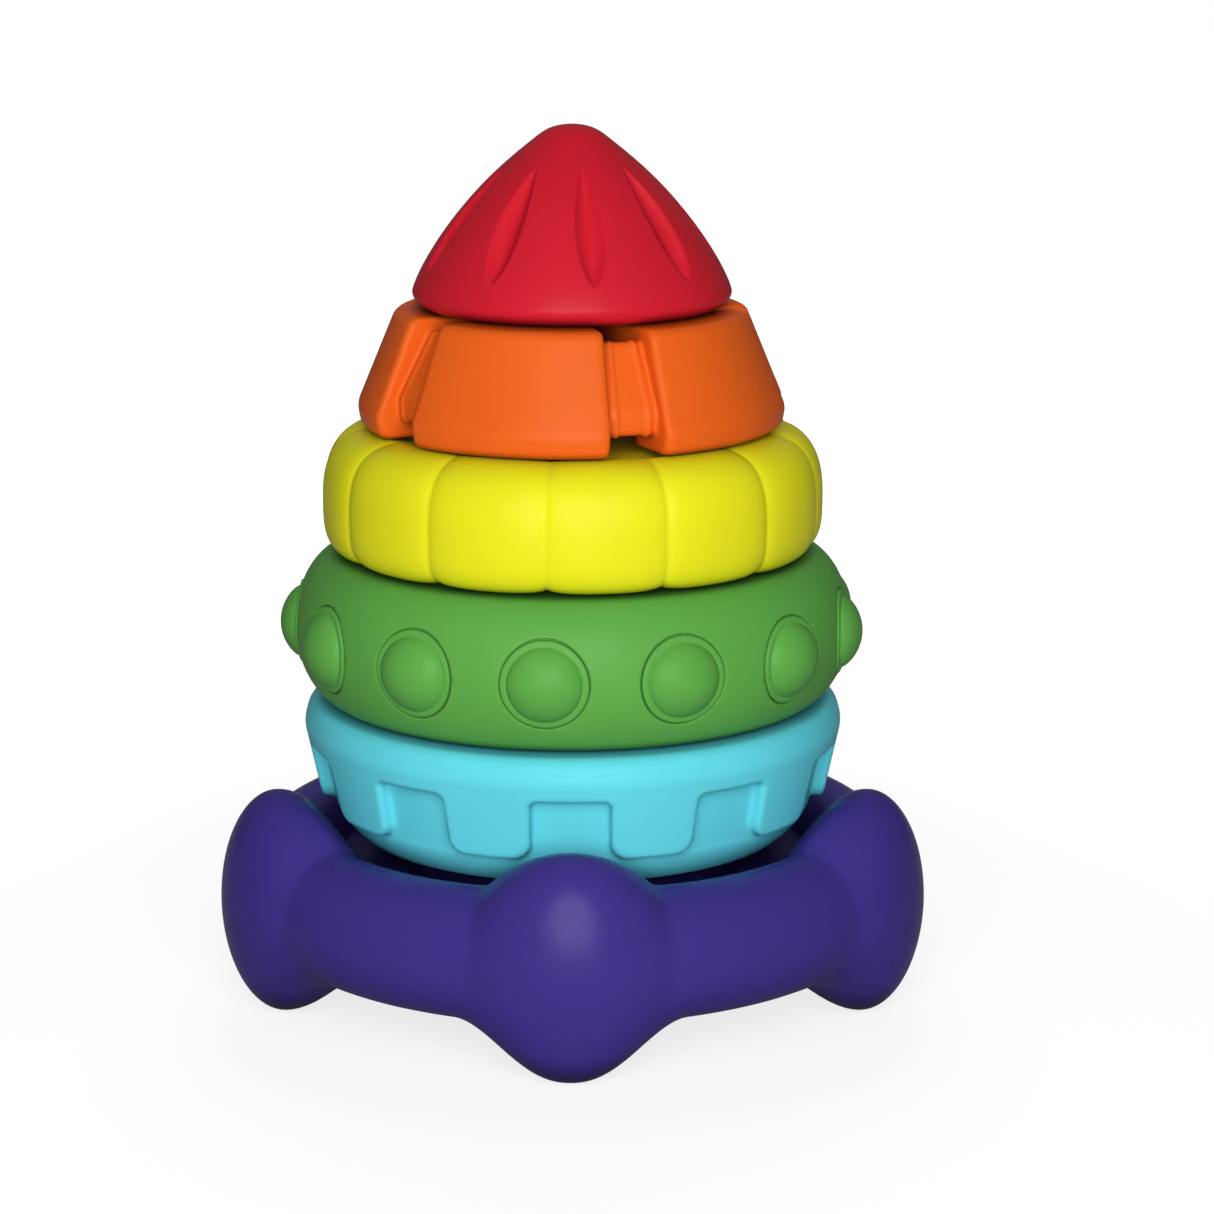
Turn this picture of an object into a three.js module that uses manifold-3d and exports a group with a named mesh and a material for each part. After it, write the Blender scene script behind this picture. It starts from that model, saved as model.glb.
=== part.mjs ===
// Rainbow stacking ring toy, millimetres, +Z up, seen from -Y.
// A knobbed base carries a post. Four hollow rings and a nose cone slide over the post.
// Every piece is laid out about the post axis; the last lines centre the toy on its footprint.
import * as THREE from 'three';
import { mergeVertices } from 'three/addons/utils/BufferGeometryUtils.js';
import Module from 'manifold-3d';

const wasm = await Module();
wasm.setup();

const TURN = 2 * Math.PI;
const DEGREE = Math.PI / 180;

// Shared sizes.
const WALL = 2.5; // moulded wall of every shell
const GAP = 0.3; // clearance between pieces that touch
const PLATE = 2.2; // thickness of the closing plates
const FILLET_STEPS = 3;
const ROUND_SIDES = 24; // facets of a plain round piece
const SMALL_SIDES = 12; // facets of the screws and their holes
const OVERRUN = 1; // how far a cutter runs past what it cuts
const WELD = 1e-5; // corners closer than this are one corner

// Post.
const POST_R = 9.35;
const POST_WALL = 2.2;
const POST_TIP_H = 7; // height of the rounded tip
const POST_FLANGE_T = 2.8;
const POST_FIT = 0.2; // radial clearance of the post in the base
const POST_TIP_SHARES = [0.25, 0.5, 0.75];
const BORE_R = POST_R + 1.45; // the loose bore of every ring

// Base: a round rim with knobs, a thinner web and a raised seat about the post.
const KNOBS = 5;
const RIM_R = 61; // radius of the rim's centre line
const RIM_OUT = 13; // reach of the rim away from the post
const RIM_IN = 11; // reach of the rim towards the post
const RIM_RISE = 15.2; // height of the rim's crest above its middle
const RIM_DROP = 12.9; // depth of the rim's underside below its middle
const KNOB_R = 64.3; // radius of the knobs' centre line
const KNOB_HALF_H = 24.5;
const KNOB_OUT = 15.8; // reach of a knob outwards from its centre
const KNOB_IN = 19; // reach inwards, below
const KNOB_IN_HIGH = 13; // reach inwards, above
const KNOB_HALF_LENGTH = 26; // along the rim, from the knob's middle to where it has died away
const FOOT_FLAT = 0.6; // depth cut off the underside of a knob to leave a small flat
const WEB_HALF_T = 6.5;
const SEAT_R = 36;
const SEAT_Z = 37.1;
const SEAT_EDGE = 1; // bevel round the seat
const SEAT_FLARE = 0.5; // how far the seat's skirt widens towards the web
const COVER_R = 40;
const SCREWS = 5;
const SCREW_R = 1.5;
const SCREW_HEAD_R = 3;
const SCREW_HEAD_T = 1.4;
const SCREW_LENGTH = 11;
const SCREW_BOSS_R = 4;
const BOSS_CLEARANCE = 5; // between the screw bosses and the post's flange
const BOSS_INSET = 0.5; // between the screw bosses and the seat's wall
const KNOB_SHARES = [-1, -0.7, -0.45, -0.2, 0, 0.2, 0.45, 0.7, 1]; // sections along a knob

// Ring heights, from the base upwards.
const CYAN_H = 29.5;
const GREEN_H = 32;
const YELLOW_H = 27;
const ORANGE_H = 25.4;
const CONE_H = 38.9;

// Cyan ring: a bowl under a band with hanging tabs.
const CYAN_TABS = 10;
const CYAN_BAND_R = 59.2;
const CYAN_BAND_Z = 24.2; // widest height, above the ring's underside
const CYAN_FOOT_R = 47.3;
const CYAN_STEP = 3; // how far the tabs stand out of the bowl
const CYAN_TAB_Z = 7; // height of the tabs' lower ends
const CYAN_GAP_Z = 20.3; // height of the gaps' upper ends
const CYAN_GAP_HALF = 8.6; // degrees
const CYAN_SLOPE = 0.215; // inward taper of the tabs, per millimetre of height
const CYAN_SHOULDER = [[-7, 0], [-2.6, -1], [-0.6, -2.8]]; // from the band's radius and the top
const CYAN_EDGE = 0.6; // bevel under a tab
const CYAN_LIP = 0.2; // slope of a tab's underside
const CYAN_KNEE_DROP = 1.6; // from the tabs' lower ends to the bowl's knee
const CYAN_KNEE_IN = 0.8;
const CYAN_FOOT_EDGE = [2, 1]; // width and height of the bowl's lower bevel
const CYAN_ROOF_IN = 8; // from the band to the cavity's roof
const CYAN_PLATE_IN = 4; // from the foot to the closing plate

// Green ring: a soft-edged tyre shape with round inserts.
const GREEN_R = 60.8;
const GREEN_BULGE = 10; // radial semi-axis of the outer curve
const DOMES = 13;
const DOME_TURN = -5; // degrees from the front to the first dome
const COLLAR_R = 9;
const DOME_R = 7.4;
const DOME_H = 3;
const COLLAR_PROUD = 0.35;
const COLLAR_T = 1.3;
const STEM_R = 4.6;
const STEM_L = 4.5;
const DOME_SIDES = 10;
const DOME_INSET = 0.4; // how far the dome's curve lies inside its root
const DOME_ROWS = [[0.88, 0.45], [0.5, 0.88]]; // shares of the dome's radius and height
const SEAT_CUT = 6; // how far the cutter of a dome's seat stands clear of the ring
const GREEN_STEPS = 8; // facets of the outer curve
const GREEN_LINING = 3.9; // from the widest radius to the cavity's side
const GREEN_LINING_BOW = [3, 0.5]; // how far that side stands in at its ends and its middle
const GREEN_ROOF_IN = 2; // from the flat top's edge to the cavity's roof
const GREEN_PLATE_IN = 4; // from the flat foot's edge to the closing plate

// Yellow ring: pumpkin lobes.
const LOBES = 13;
const LOBE_TURN = -5.6; // degrees from the front to the first crease
const YELLOW_R = 54.5;
const YELLOW_LEAN = 0.17; // how hard the outer face curves back
const CREASE_DEPTH = 1.6;
const YELLOW_EDGE = 6;
const YELLOW_TOP_SHARE = 0.8; // how much of a crease's depth shows from above
const YELLOW_FOOT_SHARE = 0.6; // and from below
const YELLOW_CROWN = [[-6, -0.4], [-1, 0], [3, -1.2]]; // from the crown's radius and height
const YELLOW_HEEL = [[3.4, 1.4], [0, 0]]; // from the crown's radius and the foot
const YELLOW_WAIST = 0.6; // how far the widest point lies under the middle
const YELLOW_FLAT_IN = 12; // from the crown to where the top is flat
const YELLOW_FOOT_IN = 4; // from the crown to where the underside is flat
const YELLOW_BEVELS = [0.6, 1.4]; // ends of the outer face, from the edges above and below
const YELLOW_ROOF_IN = 3.4; // from the crown to the cavity's roof
const YELLOW_PLATE_IN = 8; // from the crown to the closing plate
const YELLOW_SHARES = [-0.3, 0, 0.3, 0.5]; // sections across a lobe

// Orange ring: blocks on a lower core.
const BLOCKS = 5;
const BLOCK_TURN = -18; // degrees from the front to the middle of the first block
const BLOCK_HALF = 28.5; // degrees
const ORANGE_WIDE_R = 46.5; // widest radius of the blocks
const ORANGE_WIDE_Z = 5; // its height above the foot
const ORANGE_FOOT_R = 45.6;
const ORANGE_TOP_R = 38;
const CORE_DEPTH = 4.8; // how far the core lies inside the block faces
const CORE_TOP_DROP = 2.6;
const CORE_TOP_FALL = 4.6; // how far the core's top falls from its edge to the bore
const CORE_FOOT_RISE = 4;
const ORANGE_EDGE = 2.4;

// Red cone.
const CONE_R = 34.4;
const CONE_RIM_Z = 3.4; // height of the widest point
const CONE_RISE_POWER = 1.25; // together these two set the fullness of the flanks
const CONE_REACH_POWER = 0.69;
const DIMPLES = 9;
const DIMPLE_TURN = 9; // degrees from the front to the first dimple
const DIMPLE_DEPTH = 1.6;
const DIMPLE_SHARES = [0.14, 0.77]; // ends of a dimple, as shares of the flank's height
const DIMPLE_FULLNESS = 0.7;
const FLANK_STEPS = 7;
const FLANK_SPREAD = 1.3; // crowds the flank's facets towards the apex
const CONE_UNDERSIDE = [[1.2, 2.2], [3.5, 3], [4.5, 3.4]]; // inwards and down from the rim
const CONE_PLATE_IN = 6; // from the rim to the closing plate
const SOCKET_ROOF_IN = 4; // from the bore to the socket's flat roof
const SOCKET_ROOF_GAP = 1;
const DIMPLE_HALF = 7; // degrees
const SOCKET_WALL = 1.8;
const SOCKET_CLEARANCE = 7.2; // between the socket's shoulder and the cone's inner face

// Sizes worked out from the ones above.
const SCREW_CIRCLE_R = SEAT_R - WALL - SCREW_BOSS_R - BOSS_INSET;
const POST_FLANGE_R = SCREW_CIRCLE_R - SCREW_BOSS_R - BOSS_CLEARANCE;
const RIM_Z = KNOB_HALF_H;
const CYAN_Z = SEAT_Z + GAP;
const GREEN_Z = CYAN_Z + CYAN_H + GAP;
const YELLOW_Z = GREEN_Z + GREEN_H + GAP;
const ORANGE_Z = YELLOW_Z + YELLOW_H + GAP;
const CONE_Z = ORANGE_Z + ORANGE_H + GAP;
const WEB_TOP_Z = RIM_Z + WEB_HALF_T;
const WEB_FOOT_Z = RIM_Z - WEB_HALF_T;
const GREEN_MID_Z = GREEN_Z + GREEN_H / 2;

// The socket's shoulder, and with it the post's top, is as high as the cone has room for.
const CONE_RISE = CONE_H - CONE_RIM_Z;
const SOCKET_ROOM_R = BORE_R + SOCKET_WALL + SOCKET_CLEARANCE + WALL + DIMPLE_DEPTH;
const SOCKET_SHARE =
  (1 - (SOCKET_ROOM_R / CONE_R) ** (1 / CONE_REACH_POWER)) ** (1 / CONE_RISE_POWER);
const SOCKET_SHOULDER_Z = CONE_Z + CONE_RIM_Z + (CONE_RISE - WALL) * SOCKET_SHARE;
const POST_TOP_Z = SOCKET_SHOULDER_Z + POST_TIP_H / 2;

const group = new THREE.Group();
group.name = 'stacking_ring_toy';

// Colour, roughness and metalness of the finishes.
const FINISHES = {
  purple: ['#42368c', 0.45, 0],
  cyan: ['#62c6d8', 0.45, 0],
  green: ['#5aa848', 0.45, 0],
  bright_green: ['#55ad3f', 0.4, 0],
  yellow: ['#e6e322', 0.45, 0],
  orange: ['#ee6e22', 0.45, 0],
  red: ['#cc2230', 0.4, 0],
  grey: ['#5d6362', 0.5, 0],
  steel: ['#b9bcc0', 0.3, 1],
};

function addPiece(name, geometry, finishName) {
  const [color, roughness, metalness] = FINISHES[finishName];
  const material = new THREE.MeshStandardMaterial({ color, roughness, metalness });
  material.name = finishName;
  const mesh = new THREE.Mesh(geometry, material);
  mesh.name = name;
  group.add(mesh);
  return mesh;
}

// A point at an angle from the front, positive towards +X.
function around(radius, z, angle) {
  return new THREE.Vector3(radius * Math.sin(angle), -radius * Math.cos(angle), z);
}

function evenAngles(count) {
  return Array.from({ length: count }, (_, i) => (i * TURN) / count);
}

// Fills an outline's corners with arcs. Each corner is [radius, z, fillet].
function filleted(corners, closed) {
  const points = [];
  const count = corners.length;
  corners.forEach(([r, z, fillet], i) => {
    const atEnd = !closed && (i === 0 || i === count - 1);
    if (atEnd || !fillet) {
      points.push([r, z]);
      return;
    }
    const here = new THREE.Vector2(r, z);
    const before = new THREE.Vector2(...corners[(i + count - 1) % count]).sub(here);
    const after = new THREE.Vector2(...corners[(i + 1) % count]).sub(here);
    const reach = Math.min(fillet, 0.45 * before.length(), 0.45 * after.length());
    const start = before.setLength(reach);
    const end = after.setLength(reach);
    for (let step = 0; step <= FILLET_STEPS; step += 1) {
      const t = step / FILLET_STEPS;
      const a = (1 - t) * (1 - t);
      const b = t * t;
      points.push([r + a * start.x + b * end.x, z + a * start.y + b * end.y]);
    }
  });
  return points;
}

// Skins rows of points. Every row is a closed ring; a row of one point is a pole.
// With looped set, the last row joins the first.
function skin(rows, looped = false) {
  const vertices = rows.flat();
  const starts = [];
  let total = 0;
  for (const row of rows) {
    starts.push(total);
    total += row.length;
  }
  const index = [];
  const last = looped ? rows.length : rows.length - 1;
  for (let r = 0; r < last; r += 1) {
    const next = (r + 1) % rows.length;
    const sides = Math.max(rows[r].length, rows[next].length);
    for (let s = 0; s < sides; s += 1) {
      const a = starts[r] + (s % rows[r].length);
      const b = starts[r] + ((s + 1) % rows[r].length);
      const c = starts[next] + (s % rows[next].length);
      const d = starts[next] + ((s + 1) % rows[next].length);
      if (a !== b) index.push(a, b, c);
      if (c !== d) index.push(b, d, c);
    }
  }
  const geometry = new THREE.BufferGeometry().setFromPoints(vertices);
  geometry.setIndex(index);
  return faceOutward(geometry);
}

function signedVolume(geometry) {
  const place = geometry.getAttribute('position');
  const order = geometry.getIndex().array;
  const [a, b, c] = [new THREE.Vector3(), new THREE.Vector3(), new THREE.Vector3()];
  let volume = 0;
  for (let i = 0; i < order.length; i += 3) {
    a.fromBufferAttribute(place, order[i]);
    b.fromBufferAttribute(place, order[i + 1]);
    c.fromBufferAttribute(place, order[i + 2]);
    volume += a.dot(b.cross(c)) / 6;
  }
  return volume;
}

function faceOutward(geometry) {
  if (signedVolume(geometry) < 0) {
    geometry.setIndex(Array.from(geometry.getIndex().array).reverse());
  }
  return geometry;
}

// Sweeps a section about the axis. outline(angle) gives as many [radius, z] points at every angle.
function sweep(outline, angles, looped = true) {
  const sections = angles.map(outline);
  const rows = sections[0].map((_, i) => {
    if (!looped && sections[0][i][0] === 0) return [around(0, sections[0][i][1], 0)];
    return angles.map((angle, k) => around(sections[k][i][0], sections[k][i][1], angle));
  });
  return skin(rows, looped);
}

function toManifold(geometry) {
  const plain = geometry.clone();
  plain.deleteAttribute('normal');
  plain.deleteAttribute('uv');
  const welded = mergeVertices(plain, WELD);
  return new wasm.Manifold(
    new wasm.Mesh({
      numProp: 3,
      vertProperties: new Float32Array(welded.getAttribute('position').array),
      triVerts: new Uint32Array(welded.getIndex().array),
    }),
  );
}

function toGeometry(solid) {
  const mesh = solid.getMesh();
  const geometry = new THREE.BufferGeometry();
  geometry.setAttribute('position', new THREE.BufferAttribute(mesh.vertProperties, 3));
  geometry.setIndex(new THREE.BufferAttribute(mesh.triVerts, 1));
  return geometry;
}

// A round bar along Z, as a solid to join or cut with.
function bar(radius, fromZ, toZ, radiusFromAxis = 0, angle = 0, sides = ROUND_SIDES) {
  const outline = [
    [0, fromZ],
    [radius, fromZ],
    [radius, toZ],
    [0, toZ],
  ];
  const geometry = sweep(() => outline, evenAngles(sides), false);
  const middle = around(radiusFromAxis, 0, angle);
  geometry.translate(middle.x, middle.y, 0);
  return geometry;
}

// How far an angle is from the nearest of count evenly spaced marks, in radians.
function fromMark(angle, count, firstDegrees) {
  const pitch = TURN / count;
  const offset = (angle - firstDegrees * DEGREE) / pitch;
  return (offset - Math.round(offset)) * pitch;
}

// Angles for a pattern: count repeats of the same offsets, in radians.
function repeatAngles(count, firstDegrees, offsets) {
  const pitch = TURN / count;
  const first = firstDegrees * DEGREE;
  return Array.from({ length: count }, (_, i) => i)
    .flatMap((i) => offsets.map((offset) => first + i * pitch + offset));
}

// A flat ring with a plain hole, used for the closing plates.
function flatRing(innerR, outerR, fromZ, toZ) {
  const outline = [
    [innerR, fromZ],
    [outerR, fromZ],
    [outerR, toZ],
    [innerR, toZ],
  ];
  return sweep(() => outline, evenAngles(ROUND_SIDES));
}

// --- Base ---------------------------------------------------------------

// 1 at a knob's middle, falling smoothly to 0 beside it.
function knobShare(angle) {
  const along = Math.abs(fromMark(angle, KNOBS, 0)) * KNOB_R;
  if (along >= KNOB_HALF_LENGTH) return 0;
  return 0.5 * (1 + Math.cos((Math.PI * along) / KNOB_HALF_LENGTH));
}

// The rim's section at one angle, as an arc from the web's top round to the web's underside.
// It is taller above its middle than below, and a knob reaches less far in above than below.
function rimArc(angle, inset, webHalf, steps) {
  const share = knobShare(angle);
  const between = (rim, knob) => THREE.MathUtils.lerp(rim, knob, share) - inset;
  const centre = between(RIM_R, KNOB_R) + inset;
  const out = between(RIM_OUT, KNOB_OUT);
  const above = [between(RIM_RISE, KNOB_HALF_H), between(RIM_IN, KNOB_IN_HIGH)];
  const below = [between(RIM_DROP, KNOB_HALF_H), between(RIM_IN, KNOB_IN)];
  const start = Math.PI - Math.asin(webHalf / above[0]);
  const stop = -Math.PI + Math.asin(webHalf / below[0]);
  return Array.from({ length: steps + 1 }, (_, i) => {
    const turn = THREE.MathUtils.lerp(start, stop, i / steps);
    const [high, inward] = turn > 0 ? above : below;
    const reach = Math.cos(turn) > 0 ? out : inward;
    return [centre + reach * Math.cos(turn), RIM_Z + high * Math.sin(turn)];
  });
}

const OUTER_RIM_STEPS = 12;
const INNER_RIM_STEPS = 8;

function baseOutline(angle) {
  const inside = WEB_HALF_T - WALL;
  const seatInside = SEAT_Z - WALL;
  return [
    [POST_R + POST_FIT, SEAT_Z],
    [SEAT_R - SEAT_EDGE, SEAT_Z],
    [SEAT_R, SEAT_Z - SEAT_EDGE],
    [SEAT_R + SEAT_FLARE, WEB_TOP_Z],
    ...rimArc(angle, 0, WEB_HALF_T, OUTER_RIM_STEPS),
    [COVER_R + GAP, WEB_FOOT_Z],
    [COVER_R + GAP, RIM_Z - inside],
    ...rimArc(angle, WALL, inside, INNER_RIM_STEPS).reverse(),
    [SEAT_R - WALL, RIM_Z + inside],
    [SEAT_R - WALL, seatInside],
    [POST_R + POST_FIT, seatInside],
  ];
}

const knobOffsets = KNOB_SHARES.map((share) => (share * KNOB_HALF_LENGTH) / KNOB_R);
const baseAngles = repeatAngles(KNOBS, 0, [...knobOffsets, TURN / KNOBS / 2]);
const FLANGE_TOP_Z = SEAT_Z - WALL - GAP;
const COVER_TOP_Z = WEB_FOOT_Z + PLATE;
const SCREW_FOOT_Z = WEB_FOOT_Z + GAP;

function buildBase() {
  let shell = toManifold(sweep(baseOutline, baseAngles));
  for (let i = 0; i < SCREWS; i += 1) {
    const angle = ((i + 0.5) * TURN) / SCREWS;
    const top = SEAT_Z - WALL / 2;
    const foot = COVER_TOP_Z + GAP;
    const boss = bar(SCREW_BOSS_R, foot, top, SCREW_CIRCLE_R, angle, SMALL_SIDES);
    shell = shell.add(toManifold(boss));
  }
  for (let i = 0; i < SCREWS; i += 1) {
    const angle = ((i + 0.5) * TURN) / SCREWS;
    const pilotTop = SCREW_FOOT_Z + SCREW_LENGTH + 2 * GAP;
    const radius = SCREW_R + GAP;
    const pilot = bar(radius, WEB_FOOT_Z, pilotTop, SCREW_CIRCLE_R, angle, SMALL_SIDES);
    shell = shell.subtract(toManifold(pilot));
  }
  const underKnobs = bar(RIM_R + 2 * KNOB_OUT, -OVERRUN, FOOT_FLAT);
  addPiece('base_shell', toGeometry(shell.subtract(toManifold(underKnobs))), 'purple');

  const coverOutline = [
    [0, WEB_FOOT_Z],
    [COVER_R, WEB_FOOT_Z],
    [COVER_R, COVER_TOP_Z],
    [0, COVER_TOP_Z],
  ];
  let cover = toManifold(sweep(() => coverOutline, baseAngles, false));
  for (let i = 0; i < SCREWS; i += 1) {
    const angle = ((i + 0.5) * TURN) / SCREWS;
    const sink = SCREW_FOOT_Z + SCREW_HEAD_T + GAP;
    const from = WEB_FOOT_Z - OVERRUN;
    const through = COVER_TOP_Z + OVERRUN;
    const head = bar(SCREW_HEAD_R + GAP, from, sink, SCREW_CIRCLE_R, angle, SMALL_SIDES);
    const hole = bar(SCREW_R + GAP, from, through, SCREW_CIRCLE_R, angle, SMALL_SIDES);
    cover = cover.subtract(toManifold(head)).subtract(toManifold(hole));
  }
  addPiece('base_cover', toGeometry(cover), 'purple');

  for (let i = 0; i < SCREWS; i += 1) {
    const angle = ((i + 0.5) * TURN) / SCREWS;
    const neck = SCREW_FOOT_Z + SCREW_HEAD_T;
    const outline = [
      [0, SCREW_FOOT_Z],
      [SCREW_HEAD_R, SCREW_FOOT_Z],
      [SCREW_HEAD_R, neck],
      [SCREW_R, neck],
      [SCREW_R, SCREW_FOOT_Z + SCREW_LENGTH - SCREW_R],
      [0, SCREW_FOOT_Z + SCREW_LENGTH],
    ];
    const screw = sweep(() => outline, evenAngles(SMALL_SIDES), false);
    const middle = around(SCREW_CIRCLE_R, 0, angle);
    screw.translate(middle.x, middle.y, 0);
    addPiece(`base_screw_${i + 1}`, screw, 'steel');
  }
}

// --- Post ---------------------------------------------------------------

function buildPost() {
  const foot = COVER_TOP_Z + GAP;
  const shoulder = POST_TOP_Z - POST_TIP_H;
  const inner = POST_R - POST_WALL;
  const tip = (radius, top) => POST_TIP_SHARES.map((share) => {
    const turn = (share * Math.PI) / 2;
    return [radius * Math.cos(turn), shoulder + (top - shoulder) * Math.sin(turn)];
  });
  const outline = [
    [0, POST_TOP_Z - POST_WALL],
    ...tip(inner, POST_TOP_Z - POST_WALL).reverse(),
    [inner, shoulder],
    [inner, foot],
    [POST_R, foot],
    [POST_R, FLANGE_TOP_Z - POST_FLANGE_T],
    [POST_FLANGE_R, FLANGE_TOP_Z - POST_FLANGE_T],
    [POST_FLANGE_R, FLANGE_TOP_Z],
    [POST_R, FLANGE_TOP_Z],
    [POST_R, shoulder],
    ...tip(POST_R, POST_TOP_Z),
    [0, POST_TOP_Z],
  ];
  addPiece('post', sweep(() => outline, evenAngles(ROUND_SIDES), false), 'grey');
}

// --- Rings --------------------------------------------------------------

// A ring's channel section: the given outer points from the bore's top to the foot, then a cavity
// with a flat roof, a flank and the bore's own wall. The cavity opens downwards.
function channel(outer, footZ, roofZ, roofR, footR) {
  return [
    [BORE_R, footZ],
    ...outer,
    [footR, footZ],
    [roofR, roofZ],
    [BORE_R + WALL, roofZ],
    [BORE_R + WALL, footZ],
  ];
}

function closingPlate(name, footZ, outerR, finishName) {
  addPiece(name, flatRing(BORE_R + WALL + GAP, outerR - GAP, footZ, footZ + PLATE), finishName);
}

// Cyan ring. The step between tab and bowl moves up and down round the ring.
const CYAN_STEP_DEGREES = 0.9;

function cyanOutline(angle) {
  const off = Math.abs(fromMark(angle, CYAN_TABS, 0)) / DEGREE;
  const share = THREE.MathUtils.smoothstep(off, CYAN_GAP_HALF - CYAN_STEP_DEGREES,
    CYAN_GAP_HALF + CYAN_STEP_DEGREES);
  const stepZ = THREE.MathUtils.lerp(CYAN_GAP_Z, CYAN_TAB_Z, share);
  const tabR = CYAN_BAND_R - (CYAN_BAND_Z - stepZ) * CYAN_SLOPE;
  const bowlR = tabR - CYAN_STEP;
  const kneeZ = CYAN_TAB_Z - CYAN_KNEE_DROP;
  const kneeFaceR = CYAN_BAND_R - (CYAN_BAND_Z - kneeZ) * CYAN_SLOPE;
  const [footIn, footUp] = CYAN_FOOT_EDGE;
  const outer = [
    [BORE_R, CYAN_H],
    ...CYAN_SHOULDER.map(([r, z]) => [CYAN_BAND_R + r, CYAN_H + z]),
    [CYAN_BAND_R, CYAN_BAND_Z],
    [tabR, stepZ + CYAN_EDGE],
    [tabR - CYAN_EDGE, stepZ],
    [bowlR, stepZ - CYAN_LIP],
    [kneeFaceR - CYAN_STEP - CYAN_KNEE_IN, kneeZ],
    [CYAN_FOOT_R, footUp],
    [CYAN_FOOT_R - footIn, 0],
  ];
  const roofR = CYAN_BAND_R - CYAN_ROOF_IN;
  const section = channel(outer, 0, CYAN_H - WALL, roofR, CYAN_FOOT_R - CYAN_PLATE_IN);
  return section.map(([r, z]) => [r, z + CYAN_Z]);
}

function buildCyan() {
  const half = CYAN_GAP_HALF * DEGREE;
  const step = CYAN_STEP_DEGREES * DEGREE;
  const offsets = [-half - step, -half + step, 0, half - step, half + step, TURN / CYAN_TABS / 2];
  const angles = repeatAngles(CYAN_TABS, 0, offsets);
  addPiece('cyan_ring_shell', sweep(cyanOutline, angles), 'cyan');
  closingPlate('cyan_ring_plate', CYAN_Z, CYAN_FOOT_R - CYAN_PLATE_IN, 'cyan');
}

// Green ring. Its outer half is half an ellipse.
function greenRadius(height) {
  const share = Math.min(1, Math.abs(height) / (GREEN_H / 2));
  return GREEN_R - GREEN_BULGE + GREEN_BULGE * Math.sqrt(1 - share * share);
}

function buildGreen() {
  const half = GREEN_H / 2;
  const curve = Array.from({ length: GREEN_STEPS + 1 }, (_, i) => {
    const z = half * Math.cos((i / GREEN_STEPS) * Math.PI);
    return [greenRadius(z), z];
  });
  const flatR = GREEN_R - GREEN_BULGE;
  const liningR = GREEN_R - GREEN_LINING;
  const [endIn, middleIn] = GREEN_LINING_BOW;
  const outline = [
    [BORE_R, -half],
    [BORE_R, half],
    ...curve,
    [flatR - GREEN_PLATE_IN, -half],
    [liningR - endIn, -half / 2],
    [liningR - middleIn, 0],
    [liningR - endIn, half / 2],
    [flatR - GREEN_ROOF_IN, half - WALL],
    [BORE_R + WALL, half - WALL],
    [BORE_R + WALL, -half],
  ].map(([r, z]) => [r, z + GREEN_MID_Z]);
  let shell = toManifold(sweep(() => outline, evenAngles(DOMES * 3)));
  for (let i = 0; i < DOMES; i += 1) {
    const turn = DOME_TURN * DEGREE + (i * TURN) / DOMES;
    shell = shell.subtract(toManifold(domePiece(turn, GAP)));
    addPiece(`green_dome_${i + 1}`, domePiece(turn, 0), 'bright_green');
  }
  addPiece('green_ring_shell', toGeometry(shell), 'green');
  closingPlate('green_ring_plate', GREEN_Z, flatR - GREEN_PLATE_IN, 'green');
}

// A dome with a collar that follows the ring's face and a stem through its wall.
// grow widens it to cut its own seat; the cutter's head stands clear of the ring.
function domePiece(turn, grow) {
  const sides = evenAngles(DOME_SIDES);
  const row = (radius, lift) => sides.map((side) => {
    const across = radius * Math.cos(side);
    const up = radius * Math.sin(side);
    const faceR = greenRadius(up);
    const out = Math.sqrt(faceR * faceR - across * across) + lift;
    const point = around(out, GREEN_MID_Z + up, turn);
    return point.addScaledVector(around(1, 0, turn + Math.PI / 2), across);
  });
  const pole = (lift) => [around(GREEN_R + lift, GREEN_MID_Z, turn)];
  const head = grow > 0 ? SEAT_CUT : COLLAR_PROUD;
  const bead = DOME_R - DOME_INSET;
  const rows = [
    pole(-STEM_L - grow),
    row(STEM_R + grow, -STEM_L - grow),
    row(STEM_R + grow, -COLLAR_T - grow),
    row(COLLAR_R + grow, -COLLAR_T - grow),
    row(COLLAR_R + grow, head),
    row(DOME_R, head),
  ];
  if (grow === 0) {
    for (const [wide, high] of DOME_ROWS) rows.push(row(bead * wide, COLLAR_PROUD + DOME_H * high));
    rows.push(pole(COLLAR_PROUD + DOME_H));
  } else {
    rows.push(pole(head));
  }
  return skin(rows);
}

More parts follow.
